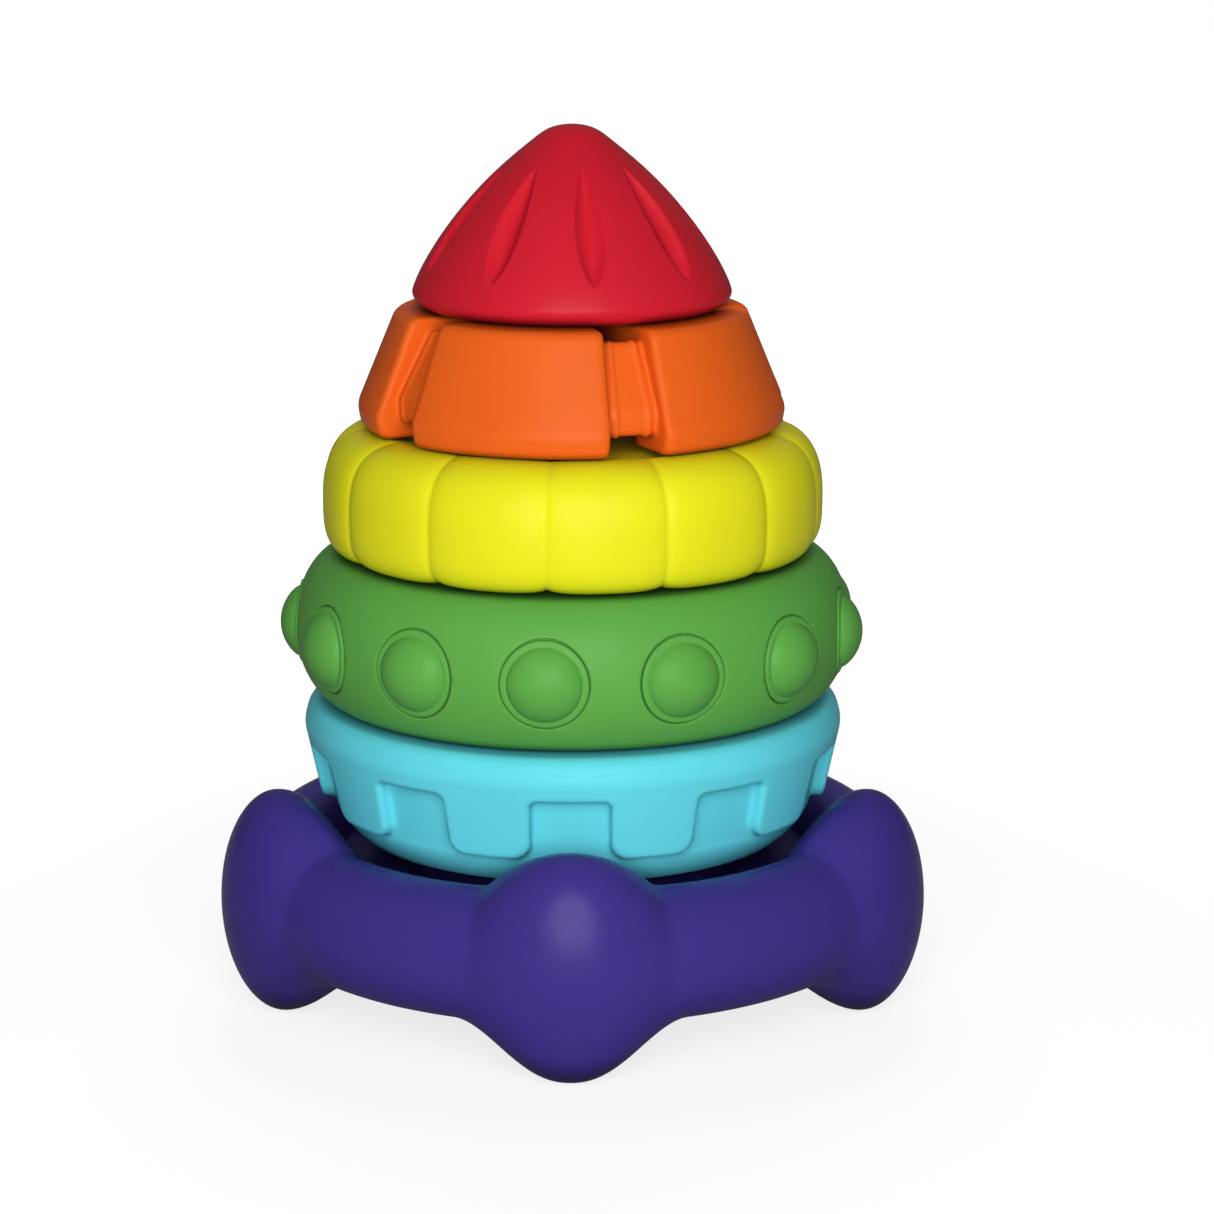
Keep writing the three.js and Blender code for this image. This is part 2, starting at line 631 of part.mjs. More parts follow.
// Yellow ring.
function yellowOutline(angle) {
  const pitch = TURN / LOBES;
  const fromCrease = Math.abs(fromMark(angle, LOBES, LOBE_TURN)) / (pitch / 2);
  const dip = CREASE_DEPTH * (1 - Math.sqrt(1 - (1 - fromCrease) ** 2));
  const mid = YELLOW_H / 2;
  const face = (z) => YELLOW_R - dip - YELLOW_LEAN * ((z - mid + YELLOW_WAIST) / mid) ** 2 * mid;
  const top = YELLOW_H - dip * YELLOW_TOP_SHARE;
  const foot = dip * YELLOW_FOOT_SHARE;
  const crown = YELLOW_R - YELLOW_EDGE - dip;
  const [bevelAbove, bevelBelow] = YELLOW_BEVELS;
  const outer = [
    [BORE_R, YELLOW_H - CREASE_DEPTH],
    [crown - YELLOW_FLAT_IN, YELLOW_H - CREASE_DEPTH],
    ...YELLOW_CROWN.map(([r, z]) => [crown + r, top + z]),
    [face(top - YELLOW_EDGE), top - YELLOW_EDGE + bevelAbove],
    [face(mid), mid],
    [face(foot + YELLOW_EDGE), foot + YELLOW_EDGE - bevelBelow],
    ...YELLOW_HEEL.map(([r, z]) => [crown + r, foot + z]),
    [crown - YELLOW_FOOT_IN, 0],
  ];
  const roofZ = YELLOW_H - CREASE_DEPTH - WALL;
  const section = channel(outer, 0, roofZ, crown - YELLOW_ROOF_IN, crown - YELLOW_PLATE_IN);
  return section.map(([r, z]) => [r, z + YELLOW_Z]);
}

function buildYellow() {
  const pitch = TURN / LOBES;
  const offsets = YELLOW_SHARES.map((share) => share * pitch);
  const angles = repeatAngles(LOBES, LOBE_TURN, offsets);
  addPiece('yellow_ring_shell', sweep(yellowOutline, angles), 'yellow');
  const deepest = YELLOW_R - YELLOW_EDGE - CREASE_DEPTH - YELLOW_PLATE_IN;
  closingPlate('yellow_ring_plate', YELLOW_Z, deepest, 'yellow');
}

// Orange ring. Blocks stand out of a core that is lower above, below and outside.
const ORANGE_HUB_R = 28; // inside this radius the underside is flat and holds the plate
const HUB_LEDGE = 1.5; // shelf between the hub and the blocks' undersides
const BLOCK_STEP_DEGREES = 1.4;

function orangeOutline(angle) {
  const off = Math.abs(fromMark(angle, BLOCKS, BLOCK_TURN)) / DEGREE;
  const inGap = THREE.MathUtils.smoothstep(off, BLOCK_HALF - BLOCK_STEP_DEGREES,
    BLOCK_HALF + BLOCK_STEP_DEGREES);
  const top = ORANGE_H - CORE_TOP_DROP * inGap;
  const foot = CORE_FOOT_RISE * inGap;
  const depth = CORE_DEPTH * inGap;
  const rounded = filleted([
    [BORE_R, top - CORE_TOP_FALL * inGap, 0],
    [ORANGE_TOP_R - depth, top, ORANGE_EDGE],
    [ORANGE_WIDE_R - depth, foot + ORANGE_WIDE_Z, ORANGE_EDGE],
    [ORANGE_FOOT_R - depth, foot, ORANGE_EDGE],
    [ORANGE_HUB_R + 2 * HUB_LEDGE, foot, 0],
  ], false);
  const flankR = ORANGE_TOP_R - CORE_DEPTH - 2 * WALL;
  const roofZ = ORANGE_H - CORE_TOP_DROP - WALL;
  const section = [
    [BORE_R, CORE_FOOT_RISE],
    ...rounded,
    [ORANGE_HUB_R + HUB_LEDGE, CORE_FOOT_RISE],
    [ORANGE_HUB_R, CORE_FOOT_RISE],
    [flankR, roofZ - CORE_TOP_FALL / 2],
    [BORE_R + WALL, roofZ - CORE_TOP_FALL],
    [BORE_R + WALL, CORE_FOOT_RISE],
  ];
  return section.map(([r, z]) => [r, z + ORANGE_Z]);
}

function buildOrange() {
  const half = BLOCK_HALF * DEGREE;
  const step = BLOCK_STEP_DEGREES * DEGREE;
  const offsets = [-half - step, -half + step, -half / 2, 0, half / 2, half - step, half + step];
  const angles = repeatAngles(BLOCKS, BLOCK_TURN, [...offsets, TURN / BLOCKS / 2]);
  addPiece('orange_ring_shell', sweep(orangeOutline, angles), 'orange');
  closingPlate('orange_ring_plate', ORANGE_Z + CORE_FOOT_RISE, ORANGE_HUB_R, 'orange');
}

// Red cone. The flank is full near the rim and rounded at the apex.
function coneRadius(share) {
  return CONE_R * (1 - share ** CONE_RISE_POWER) ** CONE_REACH_POWER;
}

function coneOutline(angle) {
  const off = fromMark(angle, DIMPLES, DIMPLE_TURN) / DEGREE;
  const across = Math.abs(off) < DIMPLE_HALF ? Math.cos((off / DIMPLE_HALF) * (Math.PI / 2)) : 0;
  const [low, high] = DIMPLE_SHARES;
  const crowded = (i) => 1 - (1 - i / FLANK_STEPS) ** FLANK_SPREAD;
  const flank = Array.from({ length: FLANK_STEPS }, (_, i) => {
    const share = crowded(i);
    const along = THREE.MathUtils.clamp((share - low) / (high - low), 0, 1);
    const dip = DIMPLE_DEPTH * across * Math.sin(Math.PI * along) ** DIMPLE_FULLNESS;
    return [coneRadius(share) - dip, CONE_RIM_Z + CONE_RISE * share];
  }).reverse();
  const footR = CONE_R - CONE_PLATE_IN;
  const inner = Array.from({ length: FLANK_STEPS }, (_, i) => {
    const share = crowded(i);
    const radius = coneRadius(share) - WALL - DIMPLE_DEPTH;
    return [Math.max(radius, 1), CONE_RIM_Z + (CONE_RISE - WALL) * share];
  });
  return [
    [0, CONE_H],
    ...flank,
    ...CONE_UNDERSIDE.map(([inwards, down]) => [CONE_R - inwards, CONE_RIM_Z - down]),
    [footR, 0],
    [footR, PLATE + GAP],
    ...inner,
    [0, CONE_H - WALL],
  ].map(([r, z]) => [r, z + CONE_Z]);
}

function buildCone() {
  const half = DIMPLE_HALF * DEGREE;
  const offsets = [-half, 0, half, TURN / DIMPLES / 2];
  const angles = repeatAngles(DIMPLES, DIMPLE_TURN, offsets);
  addPiece('cone_shell', sweep(coneOutline, angles, false), 'red');

  // The plate carries a blind socket that drops over the post.
  const roof = POST_TOP_Z + SOCKET_ROOF_GAP;
  const plateR = CONE_R - CONE_PLATE_IN - GAP;
  const outline = [
    [0, roof],
    [BORE_R - SOCKET_ROOF_IN, roof],
    [BORE_R, SOCKET_SHOULDER_Z],
    [BORE_R, CONE_Z],
    [plateR, CONE_Z],
    [plateR, CONE_Z + PLATE],
    [BORE_R + SOCKET_WALL, CONE_Z + PLATE],
    [BORE_R + SOCKET_WALL, SOCKET_SHOULDER_Z + 2 * GAP],
    [BORE_R - SOCKET_ROOF_IN + SOCKET_ROOF_GAP, roof + SOCKET_WALL],
    [0, roof + SOCKET_WALL],
  ];
  addPiece('cone_plate', sweep(() => outline, evenAngles(ROUND_SIDES), false), 'red');
}

buildBase();
buildPost();
buildCyan();
buildGreen();
buildYellow();
buildOrange();
buildCone();

// Centre the footprint on the origin.
group.updateMatrixWorld(true);
const footprint = new THREE.Box3().setFromObject(group).getCenter(new THREE.Vector3());
for (const mesh of group.children) {
  mesh.geometry.translate(-footprint.x, -footprint.y, -FOOT_FLAT);
  mesh.geometry.computeVertexNormals();
}

export default group;
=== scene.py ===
"""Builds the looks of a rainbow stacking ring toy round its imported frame.

Each Operator makes one piece or one group of like pieces. Sizes are in millimetres until a
finished mesh is placed, and angles are counted from the front, -Y, towards +X.
"""
import math

import bmesh
import bpy
from mathutils import Matrix, Vector


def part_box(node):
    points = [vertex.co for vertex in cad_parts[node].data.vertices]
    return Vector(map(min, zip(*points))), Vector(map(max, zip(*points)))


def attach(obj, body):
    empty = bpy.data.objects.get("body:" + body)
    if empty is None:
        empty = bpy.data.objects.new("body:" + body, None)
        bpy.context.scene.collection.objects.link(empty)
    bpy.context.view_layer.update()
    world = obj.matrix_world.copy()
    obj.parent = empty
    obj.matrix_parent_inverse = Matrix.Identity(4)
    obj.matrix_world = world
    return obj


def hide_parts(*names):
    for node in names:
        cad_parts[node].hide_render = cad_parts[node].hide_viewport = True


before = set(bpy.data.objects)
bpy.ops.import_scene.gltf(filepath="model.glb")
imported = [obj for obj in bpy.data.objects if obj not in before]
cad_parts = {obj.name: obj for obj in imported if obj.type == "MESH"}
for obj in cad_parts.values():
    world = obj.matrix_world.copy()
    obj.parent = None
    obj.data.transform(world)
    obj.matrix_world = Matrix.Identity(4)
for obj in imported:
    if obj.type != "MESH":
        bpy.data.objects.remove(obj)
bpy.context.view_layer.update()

bl_info = {
    "name": "Rainbow Stacking Ring Toy",
    "version": (1, 0, 0),
    "blender": (4, 5, 0),
    "location": "View3D > Sidebar > Ring Toy",
    "description": "Builds a stacking ring toy with its materials and studio",
    "category": "Add Mesh",
}

MM = 0.001
TURN = 2 * math.pi
SPACING = 0.6  # usual length of a mesh edge along an outline
CLEAR = 0.3  # gap between pieces that touch

# Steps round each piece. Those that are spun are multiples of their number of sectors.
BASE_STEPS = 480
POST_STEPS = 96
TABBED_STEPS = 760
DOMED_STEPS = 520
LOBED_STEPS = 624
BLOCK_STEPS = 720
CONE_STEPS = 540
PLATE_STEPS = 180
DOME_STEPS = 72
SOCKET_STEPS = 120
COVER_SEGMENTS = 240
HOLE_SEGMENTS = 48

PLASTIC_IOR = 1.46
PLASTIC_SPECULAR = 0.12
GRAIN_STRENGTH = 0.02
GRAIN_DEPTH = 0.0002  # metres


def node_box(name):
    """A node's lowest and highest corners in millimetres."""
    low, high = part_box(name)
    return [value / MM for value in low], [value / MM for value in high]


def node_foot(name):
    return node_box(name)[0][2]


def node_top(name):
    return node_box(name)[1][2]


def axis_point():
    """The post's axis, in millimetres."""
    low, high = node_box("post")
    return (low[0] + high[0]) / 2, (low[1] + high[1]) / 2


AXIS_X, AXIS_Y = axis_point()


# --- Sizes and colours a user would change -------------------------------------------------

def millimetres(name, description, default):
    return bpy.props.FloatProperty(name=name, description=description, default=default, min=0)


def degrees(name, description, default):
    return bpy.props.FloatProperty(
        name=name, description=description, default=math.radians(default), subtype="ANGLE")


def number(name, description, default):
    return bpy.props.IntProperty(name=name, description=description, default=default, min=3)


def colour(name, default):
    return bpy.props.FloatVectorProperty(
        name=name, description=f"Colour of the {name.lower()} plastic", default=default,
        size=3, min=0, max=1, subtype="COLOR")


class RINGTOY_PG_base(bpy.types.PropertyGroup):
    """Sizes of the knobbed base."""
    knobs: number("Knobs", "How many knobs the rim has", 5)
    rim_r: millimetres("Rim radius", "Radius of the rim's centre line", 61)
    rim_out: millimetres("Rim outwards", "Reach of the rim away from the post", 13)
    rim_in: millimetres("Rim inwards", "Reach of the rim towards the post", 11)
    rim_high: millimetres("Rim rise", "Height of the rim's crest above its middle", 15.2)
    rim_low: millimetres("Rim drop", "Depth of the rim's underside below its middle", 12.9)
    knob_turn: degrees("First knob", "Angle from the front to the first knob", 0)
    knob_r: millimetres("Knob circle", "Radius of the knob centres", 67.0)
    knob_high: millimetres("Knob rise", "Height of a knob above the rim's middle", 24.9)
    knob_low: millimetres("Knob drop", "Depth of a knob below the rim's middle", 23.9)
    knob_out: millimetres("Knob outwards", "Reach of a knob away from the post", 12.4)
    knob_in: millimetres("Knob inwards", "Reach of a knob towards the post", 15.7)
    knob_length: millimetres("Knob half length", "Where a knob dies away along the rim", 25.4)
    web_half: millimetres("Web half height", "Half the web's thickness", 6.5)
    seat_r: millimetres("Seat radius", "Radius of the raised seat", 36)
    cover_r: millimetres("Cover radius", "Radius of the round cover underneath", 40)
    wall: millimetres("Wall", "Moulded wall", 2.5)


class RINGTOY_PG_cyan(bpy.types.PropertyGroup):
    """Sizes of the pale blue ring."""
    tabs: number("Tabs", "How many tabs hang from the band", 10)
    band_r: millimetres("Band radius", "Widest radius of the band", 59.2)
    band_z: millimetres("Band height", "Height of the widest point", 24.2)
    foot_r: millimetres("Foot radius", "Radius of the bowl's foot", 47.3)
    step: millimetres("Tab thickness", "How far the tabs stand out of the bowl", 3)
    tab_z: millimetres("Tab ends", "Height of the tabs' lower ends", 7)
    gap_z: millimetres("Gap tops", "Height of the gaps' upper ends", 20.3)
    gap_half: degrees("Gap half width", "Half the angle of one gap", 8.6)
    slope: bpy.props.FloatProperty(
        name="Taper", description="Inward lean of the tabs per unit of height", default=0.215)


class RINGTOY_PG_green(bpy.types.PropertyGroup):
    """Sizes of the green ring and its domes."""
    outer_r: millimetres("Radius", "Widest radius", 60.8)
    bulge: millimetres("Bulge", "Radial depth of the outer curve", 10)
    domes: number("Domes", "How many domes the ring carries", 13)
    dome_turn: degrees("First dome", "Angle from the front to the first dome", -5)
    collar_r: millimetres("Collar radius", "Radius of a dome's collar", 9.2)
    dome_r: millimetres("Dome radius", "Radius of a dome where it leaves its collar", 7.8)
    dome_h: millimetres("Dome height", "Height of a dome above its collar", 3.1)
    proud: millimetres("Collar step", "How far a collar stands out of the ring", 0.3)


class RINGTOY_PG_yellow(bpy.types.PropertyGroup):
    """Sizes of the yellow ring."""
    lobes: number("Lobes", "How many lobes the ring has", 13)
    lobe_turn: degrees("First crease", "Angle from the front to the first crease", -5.6)
    outer_r: millimetres("Radius", "Widest radius", 54.5)
    crease: millimetres("Crease depth", "Depth of a crease between two lobes", 1.2)


class RINGTOY_PG_orange(bpy.types.PropertyGroup):
    """Sizes of the orange ring."""
    blocks: number("Blocks", "How many blocks the ring has", 5)
    block_turn: degrees("First block", "Angle from the front to the first block's middle", -18)
    block_half: degrees("Block half width", "Half the angle of one block", 28.5)
    foot_r: millimetres("Foot radius", "Widest radius of the block faces", 46.5)
    top_r: millimetres("Top radius", "Radius of the block faces at their top", 38)
    depth: millimetres("Core depth", "How far the core lies inside the block faces", 4.8)
    drop: millimetres("Core drop", "How far the core's top lies under the blocks'", 2.6)
    rise: millimetres("Core rise", "How far the core's foot lies over the blocks'", 4.0)


class RINGTOY_PG_cone(bpy.types.PropertyGroup):
    """Sizes of the nose cone."""
    rim_r: millimetres("Rim radius", "Widest radius", 34.4)
    rim_z: millimetres("Rim height", "Height of the widest point", 3.4)
    dimples: number("Dimples", "How many dimples run round the cone", 9)
    dimple_turn: degrees("First dimple", "Angle from the front to the first dimple", 9)
    dimple_depth: millimetres("Dimple depth", "Depth of a dimple", 1.9)
    dimple_half: millimetres("Dimple half width", "Half the width of a dimple", 3.2)
    dimple_low: millimetres("Dimple foot", "Height of a dimple's lower end", 8.4)
    dimple_high: millimetres("Dimple top", "Height of a dimple's upper end", 30.8)


class RINGTOY_PG_colours(bpy.types.PropertyGroup):
    """Colours of the plastics."""
    purple: colour("Purple", (0.050, 0.033, 0.250))
    cyan: colour("Cyan", (0.130, 0.720, 0.840))
    green: colour("Green", (0.115, 0.400, 0.068))
    yellow: colour("Yellow", (0.840, 0.810, 0.014))
    orange: colour("Orange", (0.840, 0.128, 0.012))
    red: colour("Red", (0.640, 0.014, 0.030))
    grey: colour("Grey", (0.420, 0.460, 0.455))


class RINGTOY_PG_toy(bpy.types.PropertyGroup):
    """Everything a user would change."""
    base: bpy.props.PointerProperty(type=RINGTOY_PG_base)
    cyan: bpy.props.PointerProperty(type=RINGTOY_PG_cyan)
    green: bpy.props.PointerProperty(type=RINGTOY_PG_green)
    yellow: bpy.props.PointerProperty(type=RINGTOY_PG_yellow)
    orange: bpy.props.PointerProperty(type=RINGTOY_PG_orange)
    cone: bpy.props.PointerProperty(type=RINGTOY_PG_cone)
    colours: bpy.props.PointerProperty(type=RINGTOY_PG_colours)


def toy():
    return bpy.context.scene.ring_toy


# --- Outlines --------------------------------------------------------------------------------

def mix(a, b, share):
    return a + (b - a) * share


def clamp(value, low=0.0, high=1.0):
    return max(low, min(high, value))


def ease(share):
    """Smooth step from 0 to 1."""
    share = clamp(share)
    return share * share * (3 - 2 * share)


def rounded(corners, closed=True, steps=6):
    """Rounds an outline. Each corner is (radius from the axis, height, fillet)."""
    points = []
    count = len(corners)
    for i, (r, z, fillet) in enumerate(corners):
        if not fillet or (not closed and i in (0, count - 1)):
            points.append((r, z))
            continue
        here = Vector((r, z))
        before = Vector(corners[i - 1][:2]) - here
        after = Vector(corners[(i + 1) % count][:2]) - here
        half = before.angle(after) / 2
        reach = min(fillet / math.tan(half), 0.48 * before.length, 0.48 * after.length)
        radius = reach * math.tan(half)
        centre = here + (before.normalized() + after.normalized()).normalized() * (
            radius / math.sin(half))
        start = here + before.normalized() * reach - centre
        sweep = start.angle_signed(here + after.normalized() * reach - centre)
        for step in range(steps + 1):
            spoke = start.copy()
            spoke.rotate(Matrix.Rotation(-sweep * step / steps, 2))
            points.append(tuple(centre + spoke))
    return points


def refined(points, spacing, closed=True, fine_r=0.0):
    """Splits an outline's long stretches, so none is longer than the spacing, or than ten
    times the spacing within the radius fine_r."""
    result = []
    count = len(points)
    for i in range(count if closed else count - 1):
        start, end = Vector(points[i]), Vector(points[(i + 1) % count])
        longest = spacing * 10 if min(start.x, end.x) < fine_r else spacing
        pieces = max(1, math.ceil((end - start).length / longest))
        for step in range(pieces):
            result.append(tuple(start.lerp(end, step / pieces)))
    if not closed:
        result.append(points[-1])
    return result


def outline_normals(points, closed=True):
    """The outward direction at each point of an outline that runs anticlockwise seen from +Y."""
    normals = []
    count = len(points)
    for i in range(count):
        before = points[i - 1] if closed or i else points[0]
        after = points[(i + 1) % count] if closed or i < count - 1 else points[-1]
        along = Vector((after[0] - before[0], after[1] - before[1]))
        normals.append(Vector((-along.y, along.x)).normalized())
    return normals


def from_mark(angle, count, first=0.0):
    """How far an angle is from the nearest of evenly spaced marks."""
    pitch = TURN / count
    offset = (angle - first) / pitch
    return (offset - round(offset)) * pitch


def around(r, z, angle):
    return Vector((r * math.sin(angle), -r * math.cos(angle), z))


# --- Meshes ----------------------------------------------------------------------------------

def spun(points, steps, closed=True, shape=None, sectors=6):
    """Spins an outline about the axis: one sector by spinning, the others as its copies.
    shape(index, angle) may move a point of the outline at each angle, and returns
    (radius, height) or (radius, height, turned angle)."""
    bm = bmesh.new()
    place = bm.verts.layers.int.new("place")
    verts = []
    for i, (r, z) in enumerate(points):
        vert = bm.verts.new(around(r, z, 0))
        vert[place] = i
        verts.append(vert)
    edges = [bm.edges.new(pair) for pair in zip(verts, verts[1:])]
    if closed:
        edges.append(bm.edges.new((verts[-1], verts[0])))
    bmesh.ops.spin(bm, geom=verts + edges, cent=(0, 0, 0), axis=(0, 0, 1), dvec=(0, 0, 0),
                   angle=TURN / sectors, steps=steps // sectors, use_merge=False,
                   use_duplicate=False)
    sector = bm.verts[:] + bm.edges[:] + bm.faces[:]
    for i in range(1, sectors):
        copy = bmesh.ops.duplicate(bm, geom=sector)["geom"]
        bmesh.ops.rotate(bm, verts=verts_in(copy), cent=(0, 0, 0),
                         matrix=Matrix.Rotation(i * TURN / sectors, 3, "Z"))
    seams = [vert for vert in bm.verts if on_seam(vert.co, sectors)]
    bmesh.ops.remove_doubles(bm, verts=seams, dist=1e-3)
    if shape:
        for vert in bm.verts:
            angle = math.atan2(vert.co.x, -vert.co.y)
            r, z, *turned = shape(vert[place], angle)
            vert.co = around(r, z, turned[0] if turned else angle)
    bmesh.ops.recalc_face_normals(bm, faces=bm.faces)
    return bm


def on_seam(point, sectors):
    """Whether a point lies on the axis or where two sectors meet."""
    r = math.hypot(point.x, point.y)
    return abs(from_mark(math.atan2(point.x, -point.y), sectors)) * r < 0.01


def verts_in(geometry):
    return [part for part in geometry if isinstance(part, bmesh.types.BMVert)]


def placed(name, data):
    """A new object in the scene that holds a mesh, a light or a camera."""
    item = bpy.data.objects.new(name, data)
    bpy.context.scene.collection.objects.link(item)
    return item


def finished(bm, name, body, replaced, material, centred=True, sharp=None):
    """Turns a bmesh into a placed piece that rides on its body."""
    if centred:
        bmesh.ops.translate(bm, verts=bm.verts, vec=(AXIS_X, AXIS_Y, 0))
    bmesh.ops.scale(bm, verts=bm.verts, vec=(MM, MM, MM))
    mesh = bpy.data.meshes.new(name)
    bm.to_mesh(mesh)
    bm.free()
    mesh.shade_smooth()
    if sharp:
        mesh.set_sharp_from_angle(angle=math.radians(sharp))
    mesh.materials.append(material)
    piece = placed(name, mesh)
    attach(piece, body)
    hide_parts(replaced)
    return piece


# --- Materials -------------------------------------------------------------------------------

def new_group(name, inputs, outputs):
    """A shader node group with the named sockets, and its two end nodes."""
    group = bpy.data.node_groups.new(name, "ShaderNodeTree")
    for label, kind, default in inputs:
        socket = group.interface.new_socket(label, in_out="INPUT", socket_type=kind)
        socket.default_value = default
    for label, kind in outputs:
        group.interface.new_socket(label, in_out="OUTPUT", socket_type=kind)
    return group, group.nodes.new("NodeGroupInput"), group.nodes.new("NodeGroupOutput")


def noise(nodes, links, vector, scale, detail, roughness=0.5):
    node = nodes.new("ShaderNodeTexNoise")
    node.inputs["Scale"].default_value = scale
    node.inputs["Detail"].default_value = detail
    node.inputs["Roughness"].default_value = roughness
    links.new(vector, node.inputs["Vector"])
    return node.outputs["Fac"]


def ranged(nodes, links, value, low, high, from_low=0.3, from_high=0.7):
    node = nodes.new("ShaderNodeMapRange")
    node.inputs["From Min"].default_value = from_low
    node.inputs["From Max"].default_value = from_high
    for label, end in (("To Min", low), ("To Max", high)):
        if isinstance(end, (int, float)):
            node.inputs[label].default_value = end
        else:
            links.new(end, node.inputs[label])
    links.new(value, node.inputs["Value"])
    return node.outputs["Result"]


def blended(nodes, links, kind, factor, first, second):
    node = nodes.new("ShaderNodeMix")
    node.data_type = "RGBA"
    node.blend_type = kind
    for socket, value in ((node.inputs[0], factor), (node.inputs[6], first),
                          (node.inputs[7], second)):
        if isinstance(value, bpy.types.NodeSocket):
            links.new(value, socket)
        else:
            socket.default_value = value
    return node.outputs[2]


def calculated(nodes, links, kind, *values):
    """A Math node. Each value is a number or a socket."""
    node = nodes.new("ShaderNodeMath")
    node.operation = kind
    for socket, value in zip(node.inputs, values):
        if isinstance(value, bpy.types.NodeSocket):
            links.new(value, socket)
        else:
            socket.default_value = value
    return node.outputs[0]


def new_material(label):
    """A material with its node tree and its shader."""
    material = bpy.data.materials.new(label)
    material.use_nodes = True
    return material, material.node_tree, material.node_tree.nodes["Principled BSDF"]


def plastic_group():
    """Moulded plastic: faint pigment clouds, soft gloss changes and a fine moulded grain."""
    name = "moulded plastic"
    if name in bpy.data.node_groups:
        return bpy.data.node_groups[name]
    group, start, end = new_group(
        name,
        [("Color", "NodeSocketColor", (1, 1, 1, 1)), ("Cloud", "NodeSocketFloat", 0.06),
         ("Gloss", "NodeSocketFloat", 0.36), ("Grain", "NodeSocketFloat", 0.5)],
        [("Color", "NodeSocketColor"), ("Roughness", "NodeSocketFloat"),
         ("Height", "NodeSocketFloat")])
    nodes, links = group.nodes, group.links
    place = nodes.new("ShaderNodeTexCoord").outputs["Object"]
    clouds = noise(nodes, links, place, 38, 3)
    dark = calculated(nodes, links, "SUBTRACT", 1, start.outputs["Cloud"])
    tone = ranged(nodes, links, clouds, dark, 1.0)
    coloured = blended(nodes, links, "MULTIPLY", 1.0, start.outputs["Color"], tone)
    links.new(coloured, end.inputs["Color"])
    scuffs = noise(nodes, links, place, 260, 4, 0.6)
    dull = calculated(nodes, links, "ADD", start.outputs["Gloss"], 0.07)
    gloss = ranged(nodes, links, scuffs, start.outputs["Gloss"], dull)
    links.new(gloss, end.inputs["Roughness"])
    grain = noise(nodes, links, place, 2600, 2)
    scaled = calculated(nodes, links, "MULTIPLY", grain, start.outputs["Grain"])
    links.new(scaled, end.inputs["Height"])
    return group


def crevice_group():
    """Painted shade: darkens the base colour in the narrow places that little light comes into."""
    name = "crevice shade"
    if name in bpy.data.node_groups:
        return bpy.data.node_groups[name]
    group, start, end = new_group(
        name,
        [("Color", "NodeSocketColor", (1, 1, 1, 1)), ("Depth", "NodeSocketFloat", 0.7),
         ("Reach", "NodeSocketFloat", 0.006)],
        [("Color", "NodeSocketColor")])
    nodes, links = group.nodes, group.links
    open_air = nodes.new("ShaderNodeAmbientOcclusion")
    open_air.samples = 16
    links.new(start.outputs["Reach"], open_air.inputs["Distance"])
    closed = ranged(nodes, links, open_air.outputs["AO"], 1.0, 0.0, 0.1, 0.7)
    amount = calculated(nodes, links, "MULTIPLY", closed, start.outputs["Depth"])
    # the painted shade's dark tint, mixed into the colour where ambient occlusion finds narrow
    # places
    shade = blended(nodes, links, "MULTIPLY", 1.0, start.outputs["Color"], (0.12, 0.10, 0.12, 1))
    links.new(blended(nodes, links, "MIX", amount, start.outputs["Color"], shade),
              end.inputs["Color"])
    return group


def placed_group(tree, group, values):
    node = tree.nodes.new("ShaderNodeGroup")
    node.node_tree = group
    for label, value in values.items():
        node.inputs[label].default_value = value
    return node


def plastic(name, rgb, gloss=0.36, depth=0.7, cloud=0.06, reach=0.006):
    """A moulded plastic in one colour, with painted crevice shade darkening its base colour."""
    label = f"{name} plastic"
    if label in bpy.data.materials:
        return bpy.data.materials[label]
    material, tree, shader = new_material(label)
    shader.inputs["IOR"].default_value = PLASTIC_IOR
    shader.inputs["Specular IOR Level"].default_value = PLASTIC_SPECULAR
    surface = placed_group(tree, plastic_group(),
                           {"Color": (*rgb, 1), "Cloud": cloud, "Gloss": gloss, "Grain": 0.5})
    # painted shade: the crevice shade group darkens the base colour in narrow places
    shade = placed_group(tree, crevice_group(), {"Depth": depth, "Reach": reach})
    bump = tree.nodes.new("ShaderNodeBump")
    bump.inputs["Strength"].default_value = GRAIN_STRENGTH
    bump.inputs["Distance"].default_value = GRAIN_DEPTH
    links = tree.links
    links.new(surface.outputs["Color"], shade.inputs["Color"])
    links.new(shade.outputs["Color"], shader.inputs["Base Color"])
    links.new(surface.outputs["Roughness"], shader.inputs["Roughness"])
    links.new(surface.outputs["Height"], bump.inputs["Height"])
    links.new(bump.outputs["Normal"], shader.inputs["Normal"])
    return material


def screw_steel():
    """Zinc-plated steel with fine turning marks."""
    label = "screw steel"
    if label in bpy.data.materials:
        return bpy.data.materials[label]
    material, tree, shader = new_material(label)
    shader.inputs["Metallic"].default_value = 1
    place = tree.nodes.new("ShaderNodeTexCoord").outputs["Object"]
    marks = noise(tree.nodes, tree.links, place, 900, 3)
    tree.links.new(ranged(tree.nodes, tree.links, marks, 0.25, 0.42),
                   shader.inputs["Roughness"])
    tint = blended(tree.nodes, tree.links, "MIX", marks, (0.42, 0.43, 0.45, 1),
                   (0.56, 0.57, 0.58, 1))
    tree.links.new(tint, shader.inputs["Base Color"])
    return material


# --- Closing plates, shared by the rings ------------------------------------------------------

def radii(node, over=0.0):
    """How far from the axis a node's corners lie, among those above a height."""
    corners = [vert.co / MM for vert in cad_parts[node].data.vertices]
    return [math.hypot(corner.x - AXIS_X, corner.y - AXIS_Y) for corner in corners
            if corner.z > over]


def bore_radius(node):
    return min(radii(node))


def plate_size(node):
    """A plate's outer radius, foot and top."""
    low, high = node_box(node)
    return (high[0] - low[0]) / 2, low[2], high[2]


